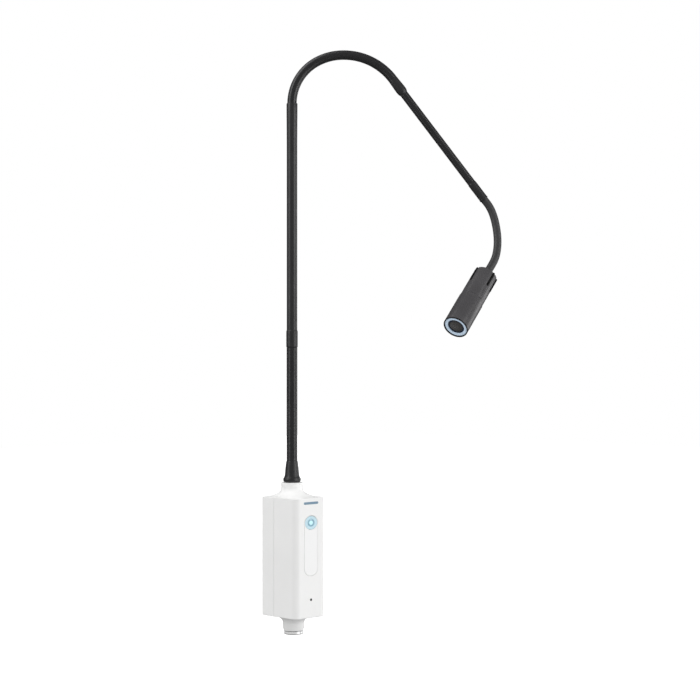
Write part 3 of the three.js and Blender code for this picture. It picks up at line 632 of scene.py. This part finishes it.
def build_panel():
    face = FRONT_Y - 0.12 * MM
    film = temporary(dished_prism(
        "front_film", lambda growth: stadium(PANEL_LOW, PANEL_HIGH, growth), face, PANEL_HIGH.y, 0.3 * MM,
    ))
    boolean(film, "DIFFERENCE", [
        outline_prism("tool", oval(BUTTON_LOW, BUTTON_HIGH, 0.2 * MM), FRONT_Y - 2 * MM, FRONT_Y + 2 * WALL),
    ])
    finish(film, "front_film", OVERLAY_FILM, "panel_overlay", "housing", ["front_overlay"], 30, flat=True)


def build_button():
    middle = (BUTTON_LOW + BUTTON_HIGH) / 2
    half_width, _, half_height = (BUTTON_HIGH - BUTTON_LOW) / 2
    face = FRONT_Y - 0.1 * MM
    cap = dished_prism(
        "button_cap", lambda growth: oval(BUTTON_LOW, BUTTON_HIGH, growth), face, CAP_HIGH.y,
        0.6 * MM, 0.35 * MM,
    )
    add_piece("button_cap", cap, BUTTON_BLUE, "lit_button", "button", ["power_button"], 40)

    def oval_band(name, share_inner, share_outer, rise, front, gap_angle=0.0):
        """Raised oval band on the cap, open at the top where gap_angle says so."""
        steps = 96
        closed = gap_angle == 0
        section = [
            (share_inner, -0.5), (share_inner, rise * 0.7), ((share_inner + share_outer) / 2, rise),
            (share_outer, rise * 0.7), (share_outer, -0.5),
        ]
        rings = []
        for i in range(steps if closed else steps + 1):
            angle = math.pi / 2 + gap_angle + 2 * (math.pi - gap_angle) * i / steps
            across, up = half_width * math.cos(angle), half_height * math.sin(angle)
            rings.append([
                Vector((middle.x + share * across, face + (front - lift) * MM, middle.z + share * up))
                for share, lift in section
            ])
        return rings_to_mesh(name, rings, closed)

    symbol = oval_band("symbol", 0.33, 0.57, 0.1, 0.16, 0.34)
    add_piece("button_symbol_ring", symbol, BUTTON_MARK, "lit_button", "button")
    add_piece("button_rim", oval_band("rim", 0.9, 0.985, 0.1, 0.14), BUTTON_RIM, "lit_button", "button")
    bar_outline = [
        (middle.x + sx * 0.7 * MM, middle.z + half_height * height)
        for sx, height in ((1, 0.3), (1, 0.66), (-1, 0.66), (-1, 0.3))
    ]
    bar = outline_prism("symbol_bar", bar_outline, face + 0.05 * MM, face + 0.8 * MM)
    add_piece("button_symbol_bar", bar, BUTTON_MARK, "lit_button", "button")
    reach = Vector((half_width, 0, half_height)) * 0.29
    glow = dished_prism(
        "glow", lambda growth: oval(middle - reach, middle + reach, growth),
        face + 0.1 * MM, face + 0.9 * MM, 0.2 * MM, -0.05 * MM,
    )
    add_piece("button_glow", glow, BUTTON_GLOW, "lit_button", "button", angle=40)


def build_window():
    middle = box_middle("sensor_window")
    face, back = FRONT_Y - 0.05 * MM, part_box("sensor_window")[1].y
    profile = rounded([(0, face), (WINDOW_RADIUS, face), (WINDOW_RADIUS, back), (0, back)], 0.3 * MM)
    turned_piece(
        "window_lens", profile, facing_rear(middle.x, middle.z), WINDOW_BLACK, "dark_window", "housing",
        ["sensor_window"], sides=48, angle=35,
    )


def build_name_bar():
    """Plain blank bar where the maker's lettering would be."""
    middle_z = 204.5 * MM
    half_width, half_height = 15 * MM, 1.9 * MM
    middle_x = half_width - half_height
    outline = []
    for side, start in ((1, -math.pi / 2), (-1, math.pi / 2)):
        outline += arc_outline((side * middle_x, middle_z), (half_height, half_height), start, math.pi, 16)
    bar = temporary(outline_prism("name_bar", outline, FRONT_Y - 0.12 * MM, FRONT_Y + 0.6 * MM))
    soften(bar, 0.08 * MM, 2, 50)
    finish(bar, "blank_name_bar", NAME_BAR, "dark_window", "housing")


# ------------------------------------------------------------------ mounting socket, inlet, screws

def build_socket():
    low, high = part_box("mounting_socket")
    outer, bore, depth, flange = 14.4 * MM, 12.9 * MM, 50 * MM, high.x
    profile = [
        (0, depth), (bore - MM, depth), (bore, depth - MM), (bore, 0.5 * MM), (bore + 0.45 * MM, 0),
        (outer - 0.4 * MM, 0), (outer, 0.5 * MM), (outer, high.z - 3 * MM), (flange, high.z - 3 * MM),
        (flange, high.z), (0, high.z),
    ]
    turned_piece(
        "socket_tube", profile, Matrix(), SOCKET_POLISH_PAINTED_REFLECTION, "polished_socket", "housing", ["mounting_socket"],
        sides=128,
    )
    # Two thin dark rings proud of the socket are painted shade: the upper one is a painted shadow in the gap
    # under the collar's lip, the lower one a painted dark reflection along the socket's bottom edge.
    inside, proud = outer - 0.3 * MM, outer + 0.12 * MM
    lines = {"lower": (0.25 * MM, MM), "upper": (COLLAR_BOTTOM - 0.9 * MM, COLLAR_BOTTOM - 0.1 * MM)}
    for name, (bottom, top) in lines.items():
        profile = rounded([(inside, bottom), (proud, bottom), (proud, top), (inside, top)], 0.1 * MM)
        turned_piece(
            f"socket_{name}_line", profile, Matrix(), SOCKET_PAINTED_SHADE, "polished_socket", "housing",
            sides=128, tube=True,
        )


def build_inlet():
    low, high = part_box("inlet_body")
    recess_x, recess_z = 12 * MM, 8.25 * MM
    middle_z = (low.z + high.z) / 2
    recess_floor = high.y - 17 * MM
    body = temporary(block_mesh(
        "inlet", (low.x + INLET_FLANGE, low.y, low.z + INLET_FLANGE),
        (high.x - INLET_FLANGE, high.y - MM, high.z - INLET_FLANGE),
    ))
    plate_outline = []
    corner = 3 * MM
    reach_z = (high.z - low.z) / 2 - corner
    for quarter, (side_x, side_z) in enumerate([(1, 1), (-1, 1), (-1, -1), (1, -1)]):
        middle = (side_x * (high.x - corner), middle_z + side_z * reach_z)
        plate_outline += arc_outline(middle, (corner, corner), quarter * math.pi / 2, math.pi / 2, 8)
    boolean(body, "UNION", [outline_prism("tool", plate_outline, REAR_Y + 0.3 * MM, high.y)])
    chamfer = 4 * MM  # the recess's two upper corners are cut off, so that a plug fits one way round only
    bottom, top = middle_z - recess_z, middle_z + recess_z
    recess_outline = [
        (-recess_x, bottom), (recess_x, bottom), (recess_x, top - chamfer), (recess_x - chamfer, top),
        (-recess_x + chamfer, top), (-recess_x, top - chamfer),
    ]
    boolean(body, "DIFFERENCE", [outline_prism("tool", recess_outline, recess_floor, high.y + MM)])
    pins = [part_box(f"inlet_pin_{pin}") for pin in ("line", "earth", "neutral")]
    grow = 0.2 * MM
    boolean(body, "DIFFERENCE", [
        block_mesh("tool", (a.x - grow, a.y - MM, a.z - grow), (b.x + grow, recess_floor + MM, b.z + grow))
        for a, b in pins
    ])
    soften(body, 0.35 * MM, 2, 50)
    finish(body, "inlet_housing", INLET_BLACK, "inlet_black", "housing", ["inlet_body"])
    for pin, (a, b) in zip(("line", "earth", "neutral"), pins):
        blade = temporary(block_mesh("blade", a, b))
        soften(blade, 0.45 * MM, 3, 50)
        finish(blade, f"inlet_blade_{pin}", PIN_NICKEL, "pin_metal", "housing", [f"inlet_pin_{pin}"])


def build_screws():
    for number in range(1, 5):
        low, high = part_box(f"housing_screw_{number}")
        middle = (low + high) / 2
        head, shank = (high.x - low.x) / 2, 1.5 * MM
        under_head = high.y - 2.4 * MM
        profile = rounded([
            (0, low.y), (shank, low.y), (shank, under_head), (head, under_head), (head, high.y), (0, high.y),
        ], 0.5 * MM)
        screw = temporary(turned_mesh("screw", profile, facing_rear(middle.x, middle.z), 48))
        slot_reach, slot_width, slot_depth = 1.9 * MM, 0.45 * MM, 1.1 * MM
        boolean(screw, "DIFFERENCE", [
            block_mesh(
                "tool",
                (middle.x - reach_x, high.y - slot_depth, middle.z - reach_z),
                (middle.x + reach_x, high.y + MM, middle.z + reach_z),
            )
            for reach_x, reach_z in ((slot_reach, slot_width), (slot_width, slot_reach))
        ])
        node = f"housing_screw_{number}"
        finish(screw, f"shell_screw_{number}", SCREW_ZINC, "screw_steel", "housing", [node])


# ------------------------------------------------------------------ arm

class Line:
    """Smooth centreline, kept as close points with their distance along it and a carried side direction."""

    def __init__(self, points, side):
        self.points = points
        self.distance = [0.0]
        for before, after in zip(points, points[1:]):
            self.distance.append(self.distance[-1] + (after - before).length)
        self.length = self.distance[-1]
        befores, afters = points[:1] + points[:-1], points[1:] + points[-1:]
        self.tangents = [(after - before).normalized() for before, after in zip(befores, afters)]
        self.sides = []
        for tangent in self.tangents:
            side = (side - tangent * side.dot(tangent)).normalized()
            self.sides.append(side)

    def at(self, distance):
        """Place, direction and side direction at the distance along the line."""
        distance = min(max(distance, 0.0), self.length)
        low, high = 0, len(self.distance) - 1
        while high - low > 1:
            middle = (low + high) // 2
            if self.distance[middle] > distance:
                high = middle
            else:
                low = middle
        t = (distance - self.distance[low]) / (self.distance[high] - self.distance[low])
        point = self.points[low].lerp(self.points[high], t)
        tangent = self.tangents[low].lerp(self.tangents[high], t).normalized()
        side = self.sides[low].lerp(self.sides[high], t)
        side = (side - tangent * side.dot(tangent)).normalized()
        return point, tangent, side

    def nearest(self, point):
        """Distance along the line of its point nearest to the given one."""
        best = min(range(len(self.points)), key=lambda i: (self.points[i] - point).length_squared)
        return self.distance[best]


def arc_points(start, corner, end, steps=40):
    """Circular arc that touches start-corner at start and corner-end at end."""
    before, after = corner - start, end - corner
    weight = math.cos(before.angle(after, 0.0) / 2)
    points = []
    for i in range(steps):
        t = i / steps
        a, b, c = (1 - t) ** 2, 2 * weight * t * (1 - t), t * t
        points.append((start * a + corner * b + end * c) / (a + b + c))
    return points


def stage_line(start, corners, end):
    """Centreline from start to end that rounds each corner by an arc to half-way to the next."""
    least = 0.01 * MM
    middles = [(a + b) / 2 for a, b in zip(corners, corners[1:])]
    first = corners[0] + (start - corners[0]).normalized() * (middles[0] - corners[0]).length
    last = corners[-1] + (end - corners[-1]).normalized() * (middles[-1] - corners[-1]).length
    touches = [first, *middles, last]
    points = [start] if (first - start).length > least else []
    for low, corner, high in zip(touches, corners, touches[1:]):
        points += arc_points(low, corner, high)
    points.append(last)
    if (end - last).length > least:
        points.append(end)
    return points


def threaded_line(points, lead_in, lead_out, steps=24):
    """Smooth centreline through the points, with a set direction at either end."""
    chords = [after - before for before, after in zip(points, points[1:])]
    slopes = [lead_in]
    for before, after in zip(chords, chords[1:]):
        slope = before.normalized() * after.length + after.normalized() * before.length
        slopes.append(slope / (before.length + after.length))
    slopes.append(lead_out)
    line = []
    for index, chord in enumerate(chords):
        for i in range(steps):
            t = i / steps
            rise = t * t * (3 - 2 * t)
            place = points[index] * (1 - rise) + points[index + 1] * rise
            pull = slopes[index] * (t * (1 - t) ** 2) - slopes[index + 1] * (t * t * (1 - t))
            line.append(place + pull * chord.length)
    line.append(points[-1])
    return line


def refined(points, step=0.5 * MM):
    """The same line with more points on its long straight stretches."""
    result = []
    for before, after in zip(points, points[1:]):
        count = max(1, round((after - before).length / step))
        result += [before.lerp(after, i / count) for i in range(count)]
    result.append(points[-1])
    return result


def wound(radius, depth, pitch):
    """Radius of a hose wound from round wire, by distance along it and angle about it."""
    def radius_at(distance, angle):
        turn = distance / pitch - angle / (2 * math.pi)
        crest = abs(math.sin(math.pi * turn))
        return radius - depth * (1 - crest) ** 1.4
    return radius_at


def smooth_sheath(radius, depth, pitch):
    """Radius of a rubber sheath that shows its core's winding faintly."""
    def radius_at(distance, angle):
        turn = distance / pitch - angle / (2 * math.pi)
        return radius - depth * (0.5 - 0.5 * math.cos(2 * math.pi * turn))
    return radius_at


def sleeve_mesh(name, line, low, high, radius_at, step, sides=36):
    count = max(2, math.ceil((high - low) / step))
    rings = []
    for i in range(count + 1):
        distance = low + (high - low) * i / count
        point, tangent, side = line.at(distance)
        across = tangent.cross(side)
        ring = []
        for j in range(sides):
            angle = 2 * math.pi * j / sides
            direction = side * math.cos(angle) + across * math.sin(angle)
            ring.append(point + direction * radius_at(distance, angle))
        rings.append(ring)
    return rings_to_mesh(name, rings)


def build_sleeve(name, line, hinges, radius_at, step, reach, material, slot, hidden):
    """Sleeve in one piece for each joint, cut half-way between one joint and the next.

    reach is how far to either side of the joint the bending would go; the places that it gives are worked out
    but not used. hidden gives, for each joint's child body, the CAD link that the piece stands for."""
    along = [line.nearest(hinge(joint)) for joint in hinges]
    cuts = [0.0] + [(a + b) / 2 for a, b in zip(along, along[1:])] + [line.length]
    for index, joint in enumerate(hinges):
        mesh = sleeve_mesh(f"{name}_{index + 1}", line, cuts[index], cuts[index + 1], radius_at, step)
        piece = add_piece(f"{name}_{index + 1}", mesh, material, slot, angle=60)
        room = min(along[index] - cuts[index], cuts[index + 1] - along[index])
        span = min(reach, room)
        start, _, _ = line.at(along[index] - span)
        end, _, _ = line.at(along[index] + span)
        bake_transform(piece)
        for node in hidden[index]:
            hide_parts(node)


ARM_PLANE = Vector(joints["arch_bend"]["axis"])  # normal of the plane that the arm lies in
BOOT_LOW, BOOT_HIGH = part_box("base_boot")
TUBE_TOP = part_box("rigid_tube")[1].z
ARM_FOOT = Vector((ARM_X, ARM_Y, 0))
COUPLING_LENGTH = 27 * MM
COUPLING_LOW = BOOT_HIGH.z + 4 * (hinge("lower_sway").z - hinge("lower_bend").z)
COUPLING_HIGH = COUPLING_LOW + COUPLING_LENGTH
ARCH_FERRULE = 28 * MM
SLIM_SLEEVE = 32.5 * MM


def build_lower_stage():
    top = BOOT_HIGH.z
    bore = 7.9
    profile = from_millimetres([
        (bore, 0), (12.2, 0), (12.7, 0.4), (13.3, 1.8), (13.65, 3.6), (13.55, 5.2), (13, 6.6), (12, 8),
        (11.4, 9.6), (11.05, 11.6), (10.75, 15), (10.1, 22.5), (9.4, 28), (9.1, 30.4), (9, 31.6), (8.7, 32.3),
    ], BOOT_LOW.z)
    profile.append((bore * MM, top))
    place = Matrix.Translation(ARM_FOOT)
    turned_piece(
        "boot", profile, place, BOOT_RUBBER, "boot_rubber", "housing", ["base_boot"], tube=True, angle=35,
    )

    start = ARM_FOOT + UP * top
    end = ARM_FOOT + UP * COUPLING_LOW
    line = Line(refined([start, end]), ARM_PLANE)
    build_sleeve(
        "lower_hose", line, LOWER, wound(LOWER_RADIUS, 0.32 * MM, HOSE_PITCH), HOSE_PITCH / 8, 20 * MM,
        GOOSENECK_BLACK, "gooseneck_black",
        [["gooseneck_root", "lower_link_1"], ["lower_link_2"], ["lower_link_3"], []],
    )


def build_mast():
    place = Matrix.Translation(ARM_FOOT)
    low, high = COUPLING_LOW, COUPLING_HIGH
    profile = rounded([
        (0, low), (COUPLING_RADIUS - 0.8 * MM, low), (COUPLING_RADIUS, low + 1.5 * MM),
        (COUPLING_RADIUS, high - 1.7 * MM), (COUPLING_RADIUS - 0.7 * MM, high), (0, high),
    ], 0.6 * MM)
    turned_piece("coupling", profile, place, COUPLING_BLACK, "coupling_black", "mast", ["mid_coupling"])

    top = TUBE_TOP
    flare = 8.5 * MM
    profile = [
        (0, high - MM), (TUBE_RADIUS, high - MM), (TUBE_RADIUS, top - 62 * MM),
        (TUBE_RADIUS + 0.08 * MM, top - 52 * MM), (flare - 0.15 * MM, top - 28 * MM),
        (flare - 0.03 * MM, top - 20 * MM), (flare, top - 12 * MM), (flare, top - 0.5 * MM),
        (flare - 0.15 * MM, top - 0.15 * MM), (flare - 0.5 * MM, top), (0, top),
    ]
    turned_piece("mast_tube", profile, place, TUBE_BLACK, "tube_black", "mast", ["rigid_tube"])


def build_arch():
    bends = [hinge(name) for name in ARCH if "bend" in name]
    start = ARM_FOOT + UP * TUBE_TOP
    along_slim = (hinge("slim_bend") - bends[-1]).normalized()
    end = bends[-1] + along_slim * (hinge("arch_bend_6") - hinge("arch_sway_5")).length
    line = Line(refined(stage_line(start, bends, end)), ARM_PLANE)
    hidden = [["arch_root", "arch_link_1"]] + [[f"arch_link_{number}"] for number in range(2, 11)] + [[]]
    build_sleeve(
        "arch_hose", line, ARCH, wound(ARCH_RADIUS, 0.22 * MM, HOSE_PITCH), HOSE_PITCH / 8, WHOLE_PIECE,
        GOOSENECK_BLACK, "gooseneck_black", hidden,
    )
    return end, along_slim


def ferrule_profile(length, radius, edge, lip):
    """Smooth sleeve with eased ends and a thin lip at its far end."""
    return rounded([
        (0, -0.4 * MM), (edge, -0.4 * MM), (edge, 0), (radius, 1.4 * MM), (radius, length - 3 * MM),
        (radius + lip, length - 2.4 * MM), (radius + lip, length - 0.7 * MM), (edge, length), (0, length),
    ], 0.35 * MM)


def build_slim_stage(arch_end, direction):
    ferrule_end = arch_end + direction * ARCH_FERRULE
    profile = from_millimetres([  # starts as thick as the arch, swells, and closes round the thinner hose
        (0, -0.4), (7, -0.4), (7.35, 0.8), (7.5, 7), (7.85, 15), (8, 20), (7.9, 23), (7.4, 25.6), (6.6, 27.4),
        (6.2, 28),
    ])
    profile.append((0, ARCH_FERRULE))
    turned_piece(
        "arch_collar", profile, frame_along(arch_end, direction, ARM_PLANE), COUPLING_BLACK,
        "coupling_black", "slim_root", ["arch_ferrule"],
    )
    sleeve_end = hinge("end_bend") - direction * (hinge("end_sway") - hinge("end_bend")).length / 2
    sleeve_start = sleeve_end - direction * SLIM_SLEEVE
    line = Line(refined([ferrule_end, sleeve_start]), ARM_PLANE)
    build_sleeve(
        "slim_hose", line, SLIM, wound(SLIM_RADIUS, 0.25 * MM, SLIM_PITCH), SLIM_PITCH / 8, 26 * MM,
        GOOSENECK_BLACK, "gooseneck_black", [["slim_link"], []],
    )
    profile = ferrule_profile(SLIM_SLEEVE, 6.7 * MM, 6.2 * MM, 0.25 * MM)
    turned_piece(
        "slim_collar", profile, frame_along(sleeve_start, direction, ARM_PLANE), COUPLING_BLACK,
        "coupling_black", "slim_end", ["slim_sleeve"],
    )
    return sleeve_end


HEAD_AXIS = (centre("front_bezel") - centre("rear_cap")).normalized()
HEAD_SIDE = Vector(joints["end_sway_3"]["axis"])
HEAD_REAR = hinge("end_sway_3") + HEAD_AXIS * (hinge("end_sway_3") - hinge("end_bend_3")).length / 2
HEAD_PLACE = frame_along(HEAD_REAR, HEAD_AXIS, HEAD_SIDE)
HEAD_LENGTH = 131 * MM


def build_end_stage(sleeve_end):
    corners = [hinge(name) for name in END if "bend" in name]
    inside = HEAD_REAR + HEAD_AXIS * (SHELL_REAR + 7 * MM)  # the flex runs on into the head's back
    lead_in = (corners[0] - sleeve_end).normalized()
    points = threaded_line([sleeve_end, *corners, HEAD_REAR, inside], lead_in, HEAD_AXIS)
    line = Line(refined(points), ARM_PLANE)
    hidden = [[f"end_link_{number}"] for number in range(1, 6)] + [["head_stem"]]
    build_sleeve(
        "end_flex", line, END, smooth_sheath(END_RADIUS, 0.12 * MM, 2.4 * MM), 0.6 * MM, WHOLE_PIECE,
        END_CHARCOAL, "end_flex_grey", hidden,
    )


# ------------------------------------------------------------------ head

BAR_ANGLES = [math.radians(angle) for angle in (-174, -135, -42, 93)]
HEAD_RADIUS = 18.6 * MM
BARREL_RADIUS = 19.2 * MM
BARREL_START = 69 * MM
SHELL_REAR = 11 * MM
BAR_START = SHELL_REAR + 0.3 * MM
BAR_END = 39.5 * MM
BAR_HALF = 1.5 * MM
BAR_REACH = HEAD_RADIUS + 1.2 * MM
PETAL_CORNER = 2.5 * MM


def head_piece(name, profile, material, slot, nodes, sides=160, tube=True):
    turned_piece(name, profile, HEAD_PLACE, material, slot, "head", nodes, sides=sides, tube=tube)


def slot_tool(angle):
    """Cutter for a slot of the rear shell, flared at its mouth to round the petals' corners."""
    half = BAR_HALF + 0.3 * MM
    outline = [(-half, BAR_END + 0.4 * MM)]
    middle = (-half - PETAL_CORNER, SHELL_REAR + PETAL_CORNER)
    outline += arc_outline(middle, (PETAL_CORNER, -PETAL_CORNER), 0, math.pi / 2, 8)
    outline += [(-half - PETAL_CORNER, SHELL_REAR - 5 * MM)]
    outline += [(-x, z) for x, z in reversed(outline)]
    rings = [[Vector((reach, x, z)) for x, z in outline] for reach in (12 * MM, 24 * MM)]
    mesh = rings_to_mesh("tool", rings)
    mesh.transform(HEAD_PLACE @ Matrix.Rotation(angle, 4, "Z"))
    return mesh


def build_rear_shell():
    inner = 16.5 * MM
    end = BARREL_START - 0.12 * MM
    bevel = 0.12 * MM
    profile = [
        (inner, SHELL_REAR), (HEAD_RADIUS, SHELL_REAR), (HEAD_RADIUS, end - bevel),
        (HEAD_RADIUS - bevel, end), (inner, end),
    ]
    shell = temporary(turned_mesh("rear_shell", profile, HEAD_PLACE, 160, tube=True))
    boolean(shell, "DIFFERENCE", [slot_tool(angle) for angle in BAR_ANGLES])
    soften(shell, 0.3 * MM, 2, 45)
    finish(shell, "rear_shell", HEAD_CHARCOAL, "head_grey", "head", ["head_rear_shell"], 30)


def build_heat_sink():
    core = 15.4 * MM
    groove = 1.2 * MM
    bore = 6.4 * MM
    low = SHELL_REAR + 8.5 * MM
    profile = [(bore, low), (core, low)]
    height = low + 5 * MM
    while height < 60 * MM:  # cooling grooves round the core, seen through the slots
        top = height + 1.4 * MM
        profile += [(core, height), (core - groove, height), (core - groove, top), (core, top)]
        height += 4 * MM
    profile += [(core, 65 * MM), (bore, 65 * MM)]
    turned_piece(
        "heat_sink_core", profile, HEAD_PLACE, SINK_BLACK, "heat_sink", "head", ["heat_sink"],
        tube=True, angle=35,
    )
    for number, angle in enumerate(BAR_ANGLES, 1):
        mesh = block_mesh("bar", (core - 0.4 * MM, -BAR_HALF, BAR_START), (BAR_REACH, BAR_HALF, BAR_END))
        mesh.transform(HEAD_PLACE @ Matrix.Rotation(angle, 4, "Z"))
        bar = temporary(mesh)
        soften(bar, 0.55 * MM, 3, 50)
        finish(bar, f"heat_sink_bar_{number}", SINK_BLACK, "heat_sink", "head")


def build_rear_cap():
    bore, rim = 6.25, 16.2
    profile = from_millimetres([
        (bore, 1.2), (bore + 0.3, 0.8), (8.2, 0.8), (8.9, 1.4), (9.6, 4.4), (10.2, 5), (rim - 0.6, 5),
        (rim, 5.6), (rim, 8), (bore, 8),
    ], SHELL_REAR)
    head_piece("back_cap", profile, HEAD_BLACK, "head_black", ["rear_cap"], sides=96)


def build_barrel():
    end = HEAD_LENGTH - 2 * MM
    bore, seat = 17 * MM, 18.2 * MM
    profile = [
        (bore, BARREL_START), (HEAD_RADIUS - 0.1 * MM, BARREL_START),
        (HEAD_RADIUS + 0.1 * MM, BARREL_START + 0.25 * MM),
        (BARREL_RADIUS - 0.1 * MM, BARREL_START + 0.8 * MM),
        (BARREL_RADIUS, BARREL_START + 1.3 * MM), (BARREL_RADIUS, end), (seat, end), (seat, end - 6 * MM),
        (bore, end - 6 * MM),
    ]
    head_piece("barrel", profile, HEAD_CHARCOAL, "head_grey", ["front_barrel"])


def build_front():
    face = HEAD_LENGTH - 2.2 * MM
    profile = [
        (17.75 * MM, face - 1.5 * MM), (BARREL_RADIUS - 0.05 * MM, face + 0.45 * MM),
        (BARREL_RADIUS, HEAD_LENGTH - 0.9 * MM), (BARREL_RADIUS - 0.2 * MM, HEAD_LENGTH - 0.3 * MM),
        (BARREL_RADIUS - 0.6 * MM, HEAD_LENGTH), (18.1 * MM, HEAD_LENGTH - 0.2 * MM), (17.75 * MM, face),
    ]
    head_piece("bezel", profile, HEAD_BLACK, "head_black", ["front_bezel"])
    inner, outer = 12.95 * MM, 17.6 * MM
    profile = [
        (inner, face - 5 * MM), (outer, face - 5 * MM), (outer, face), (17.2 * MM, face + 0.5 * MM),
        (15.4 * MM, face + 0.75 * MM), (13.3 * MM, face + 0.5 * MM), (inner, face),
    ]
    head_piece("ring_light", profile, RING_BLUE, "ring_light", ["light_ring"])
    rim, pane = 12.5 * MM, 10.6 * MM
    profile = [
        (pane - MM, face - 3 * MM), (rim, face - 3 * MM), (rim, face - 0.6 * MM),
        (rim - 0.5 * MM, face - 0.1 * MM), (rim - 1.2 * MM, face), (pane, face - 0.5 * MM),
        (pane - MM, face - 1.2 * MM),
    ]
    head_piece("lens_rim", profile, LENS_EDGE, "dark_lens", [], sides=128)
    profile = [(0, face - 5 * MM), (pane - 0.1 * MM, face - 5 * MM), (pane - 0.1 * MM, face - 0.75 * MM)]
    for i in range(8):
        t = i / 8
        profile.append(((pane - 0.4 * MM) * (1 - t), face - 0.6 * MM + 0.7 * MM * (1 - (1 - t) ** 2)))
    profile.append((0, face + 0.1 * MM))
    head_piece("front_lens", profile, LENS_DARK, "dark_lens", ["centre_lens"], sides=128, tube=False)


# ------------------------------------------------------------------ pieces that stay as they are

def dress_inner_nodes():
    """Materials of the CAD pieces inside the housing and the head, which keep their own shape."""
    looks = {
        "chassis_bracket": metal("inner_zinc", (0.6, 0.62, 0.64), 0.35),
        "gland_nut": metal("inner_brass", (0.72, 0.55, 0.25), 0.3),
        "power_board": moulded("board_green", (0.03, 0.2, 0.09), 0.4),
        "transformer": moulded("winding_tape", (0.6, 0.45, 0.1), 0.5),
        "smoothing_capacitor": moulded("capacitor_black", (0.03, 0.03, 0.035), 0.35),
        "mains_choke": metal("choke_copper", (0.62, 0.3, 0.12), 0.35),
        "led_board": metal("board_metal", (0.75, 0.76, 0.77), 0.35),
        "led_emitter": moulded("phosphor", (0.85, 0.72, 0.2), 0.35),
        "collimator_optic": moulded("optic_clear", (0.9, 0.93, 0.95), 0.05, Transmission_Weight=0.9),
        "optic_holder": HEAD_BLACK,
    }
    looks["control_board"] = looks["power_board"]
    looks["button_switch"] = looks["smoothing_capacitor"]
    for node, material in looks.items():
        mesh = frame["nodes"][node].data
        mesh.materials.clear()
        mesh.materials.append(material)


# ------------------------------------------------------------------ stage

def build_floor():
    """White sweep under the object. It is seen, but throws no light back, so the arm keeps its dark edges."""
    size = 14.0
    height = -0.62
    mesh = bpy.data.meshes.new("floor")
    corners = [(-size, -size, height), (size, -size, height), (size, size, height), (-size, size, height)]
    mesh.from_pydata(corners, [], [(0, 1, 2, 3)])
    floor = temporary(mesh)
    look = Look(
        "floor_pale", (0.4, 0.4, 0.4), 0.9,
        Specular_IOR_Level=0.0, Emission_Color=(1, 1, 1, 1), Emission_Strength=1.0,
    )
    look.vary_roughness(look.noise(3), 0.05)
    mesh.materials.append(look.material)
    floor.visible_glossy = False
    floor.visible_diffuse = False


def view_directions():
    toward = Vector((-math.sin(VIEW_TURN), -math.cos(VIEW_TURN), 0))
    right = Vector((math.cos(VIEW_TURN), -math.sin(VIEW_TURN), 0))
    return toward, right


def build_camera():
    toward, right = view_directions()
    data = bpy.data.cameras.new("camera")
    data.lens = VIEW_LENS
    data.sensor_width = 36
    data.clip_end = 60
    camera = bpy.data.objects.new("camera", data)
    bpy.context.collection.objects.link(camera)
    eye = ARM_FOOT + right * VIEW_SIDE + toward * VIEW_DISTANCE + UP * VIEW_HEIGHT
    camera.matrix_world = Matrix.Translation(eye) @ Matrix((right, UP, toward)).transposed().to_4x4()
    bpy.context.scene.camera = camera


def add_area_light(name, place, aim, size, power):
    data = bpy.data.lights.new(name, "AREA")
    data.shape = "RECTANGLE"
    data.size, data.size_y = size
    data.energy = power
    light = bpy.data.objects.new(name, data)
    bpy.context.collection.objects.link(light)
    turn = (aim - place).to_track_quat("-Z", "Y").to_matrix().to_4x4()
    light.matrix_world = Matrix.Translation(place) @ turn


def build_world():
    """White to the eye, softer as a light, and nearly dark in reflections."""
    world = bpy.data.worlds.new("studio")
    world.use_nodes = True
    nodes, links = world.node_tree.nodes, world.node_tree.links
    white = (1, 1, 1, 1)
    seen = set_sockets(nodes["Background"], Color=white, Strength=1.0)
    shed = set_sockets(nodes.new("ShaderNodeBackground"), Color=white)
    mirrored = set_sockets(nodes.new("ShaderNodeBackground"), Color=white, Strength=WORLD_REFLECTION)
    by_height = nodes.new("ShaderNodeMapRange")
    set_sockets(by_height, From_Min=-0.5, From_Max=0.2, To_Min=WORLD_LIGHT_BELOW, To_Max=WORLD_LIGHT)
    place = nodes.new("ShaderNodeTexCoord")
    direction = nodes.new("ShaderNodeSeparateXYZ")
    path = nodes.new("ShaderNodeLightPath")
    by_gloss = nodes.new("ShaderNodeMixShader")
    by_eye = nodes.new("ShaderNodeMixShader")
    for source, target in (
        (place.outputs["Generated"], direction.inputs["Vector"]),
        (direction.outputs["Z"], by_height.inputs["Value"]),
        (by_height.outputs["Result"], shed.inputs["Strength"]),
        (path.outputs["Is Glossy Ray"], by_gloss.inputs["Fac"]),
        (shed.outputs["Background"], by_gloss.inputs[1]),
        (mirrored.outputs["Background"], by_gloss.inputs[2]),
        (path.outputs["Is Camera Ray"], by_eye.inputs["Fac"]),
        (by_gloss.outputs["Shader"], by_eye.inputs[1]),
        (seen.outputs["Background"], by_eye.inputs[2]),
        (by_eye.outputs["Shader"], nodes["World Output"].inputs["Surface"]),
    ):
        links.new(source, target)
    bpy.context.scene.world = world


def build_lights():
    toward, right = view_directions()
    aim = UP * 0.45
    for name, side, ahead, height, size, power in SOFTBOXES:
        add_area_light(name, right * side + toward * ahead + UP * height, aim, size, power)
    bpy.context.scene.view_settings.view_transform = "Standard"


# ------------------------------------------------------------------ everything

build_camera()
build_world()
build_lights()
build_floor()
build_shells()
build_panel()
build_button()
build_window()
build_name_bar()
build_socket()
build_inlet()
build_screws()
build_lower_stage()
build_mast()
arch_end, slim_direction = build_arch()
slim_sleeve_end = build_slim_stage(arch_end, slim_direction)
build_end_stage(slim_sleeve_end)
build_rear_shell()
build_heat_sink()
build_rear_cap()
build_barrel()
build_front()
dress_inner_nodes()
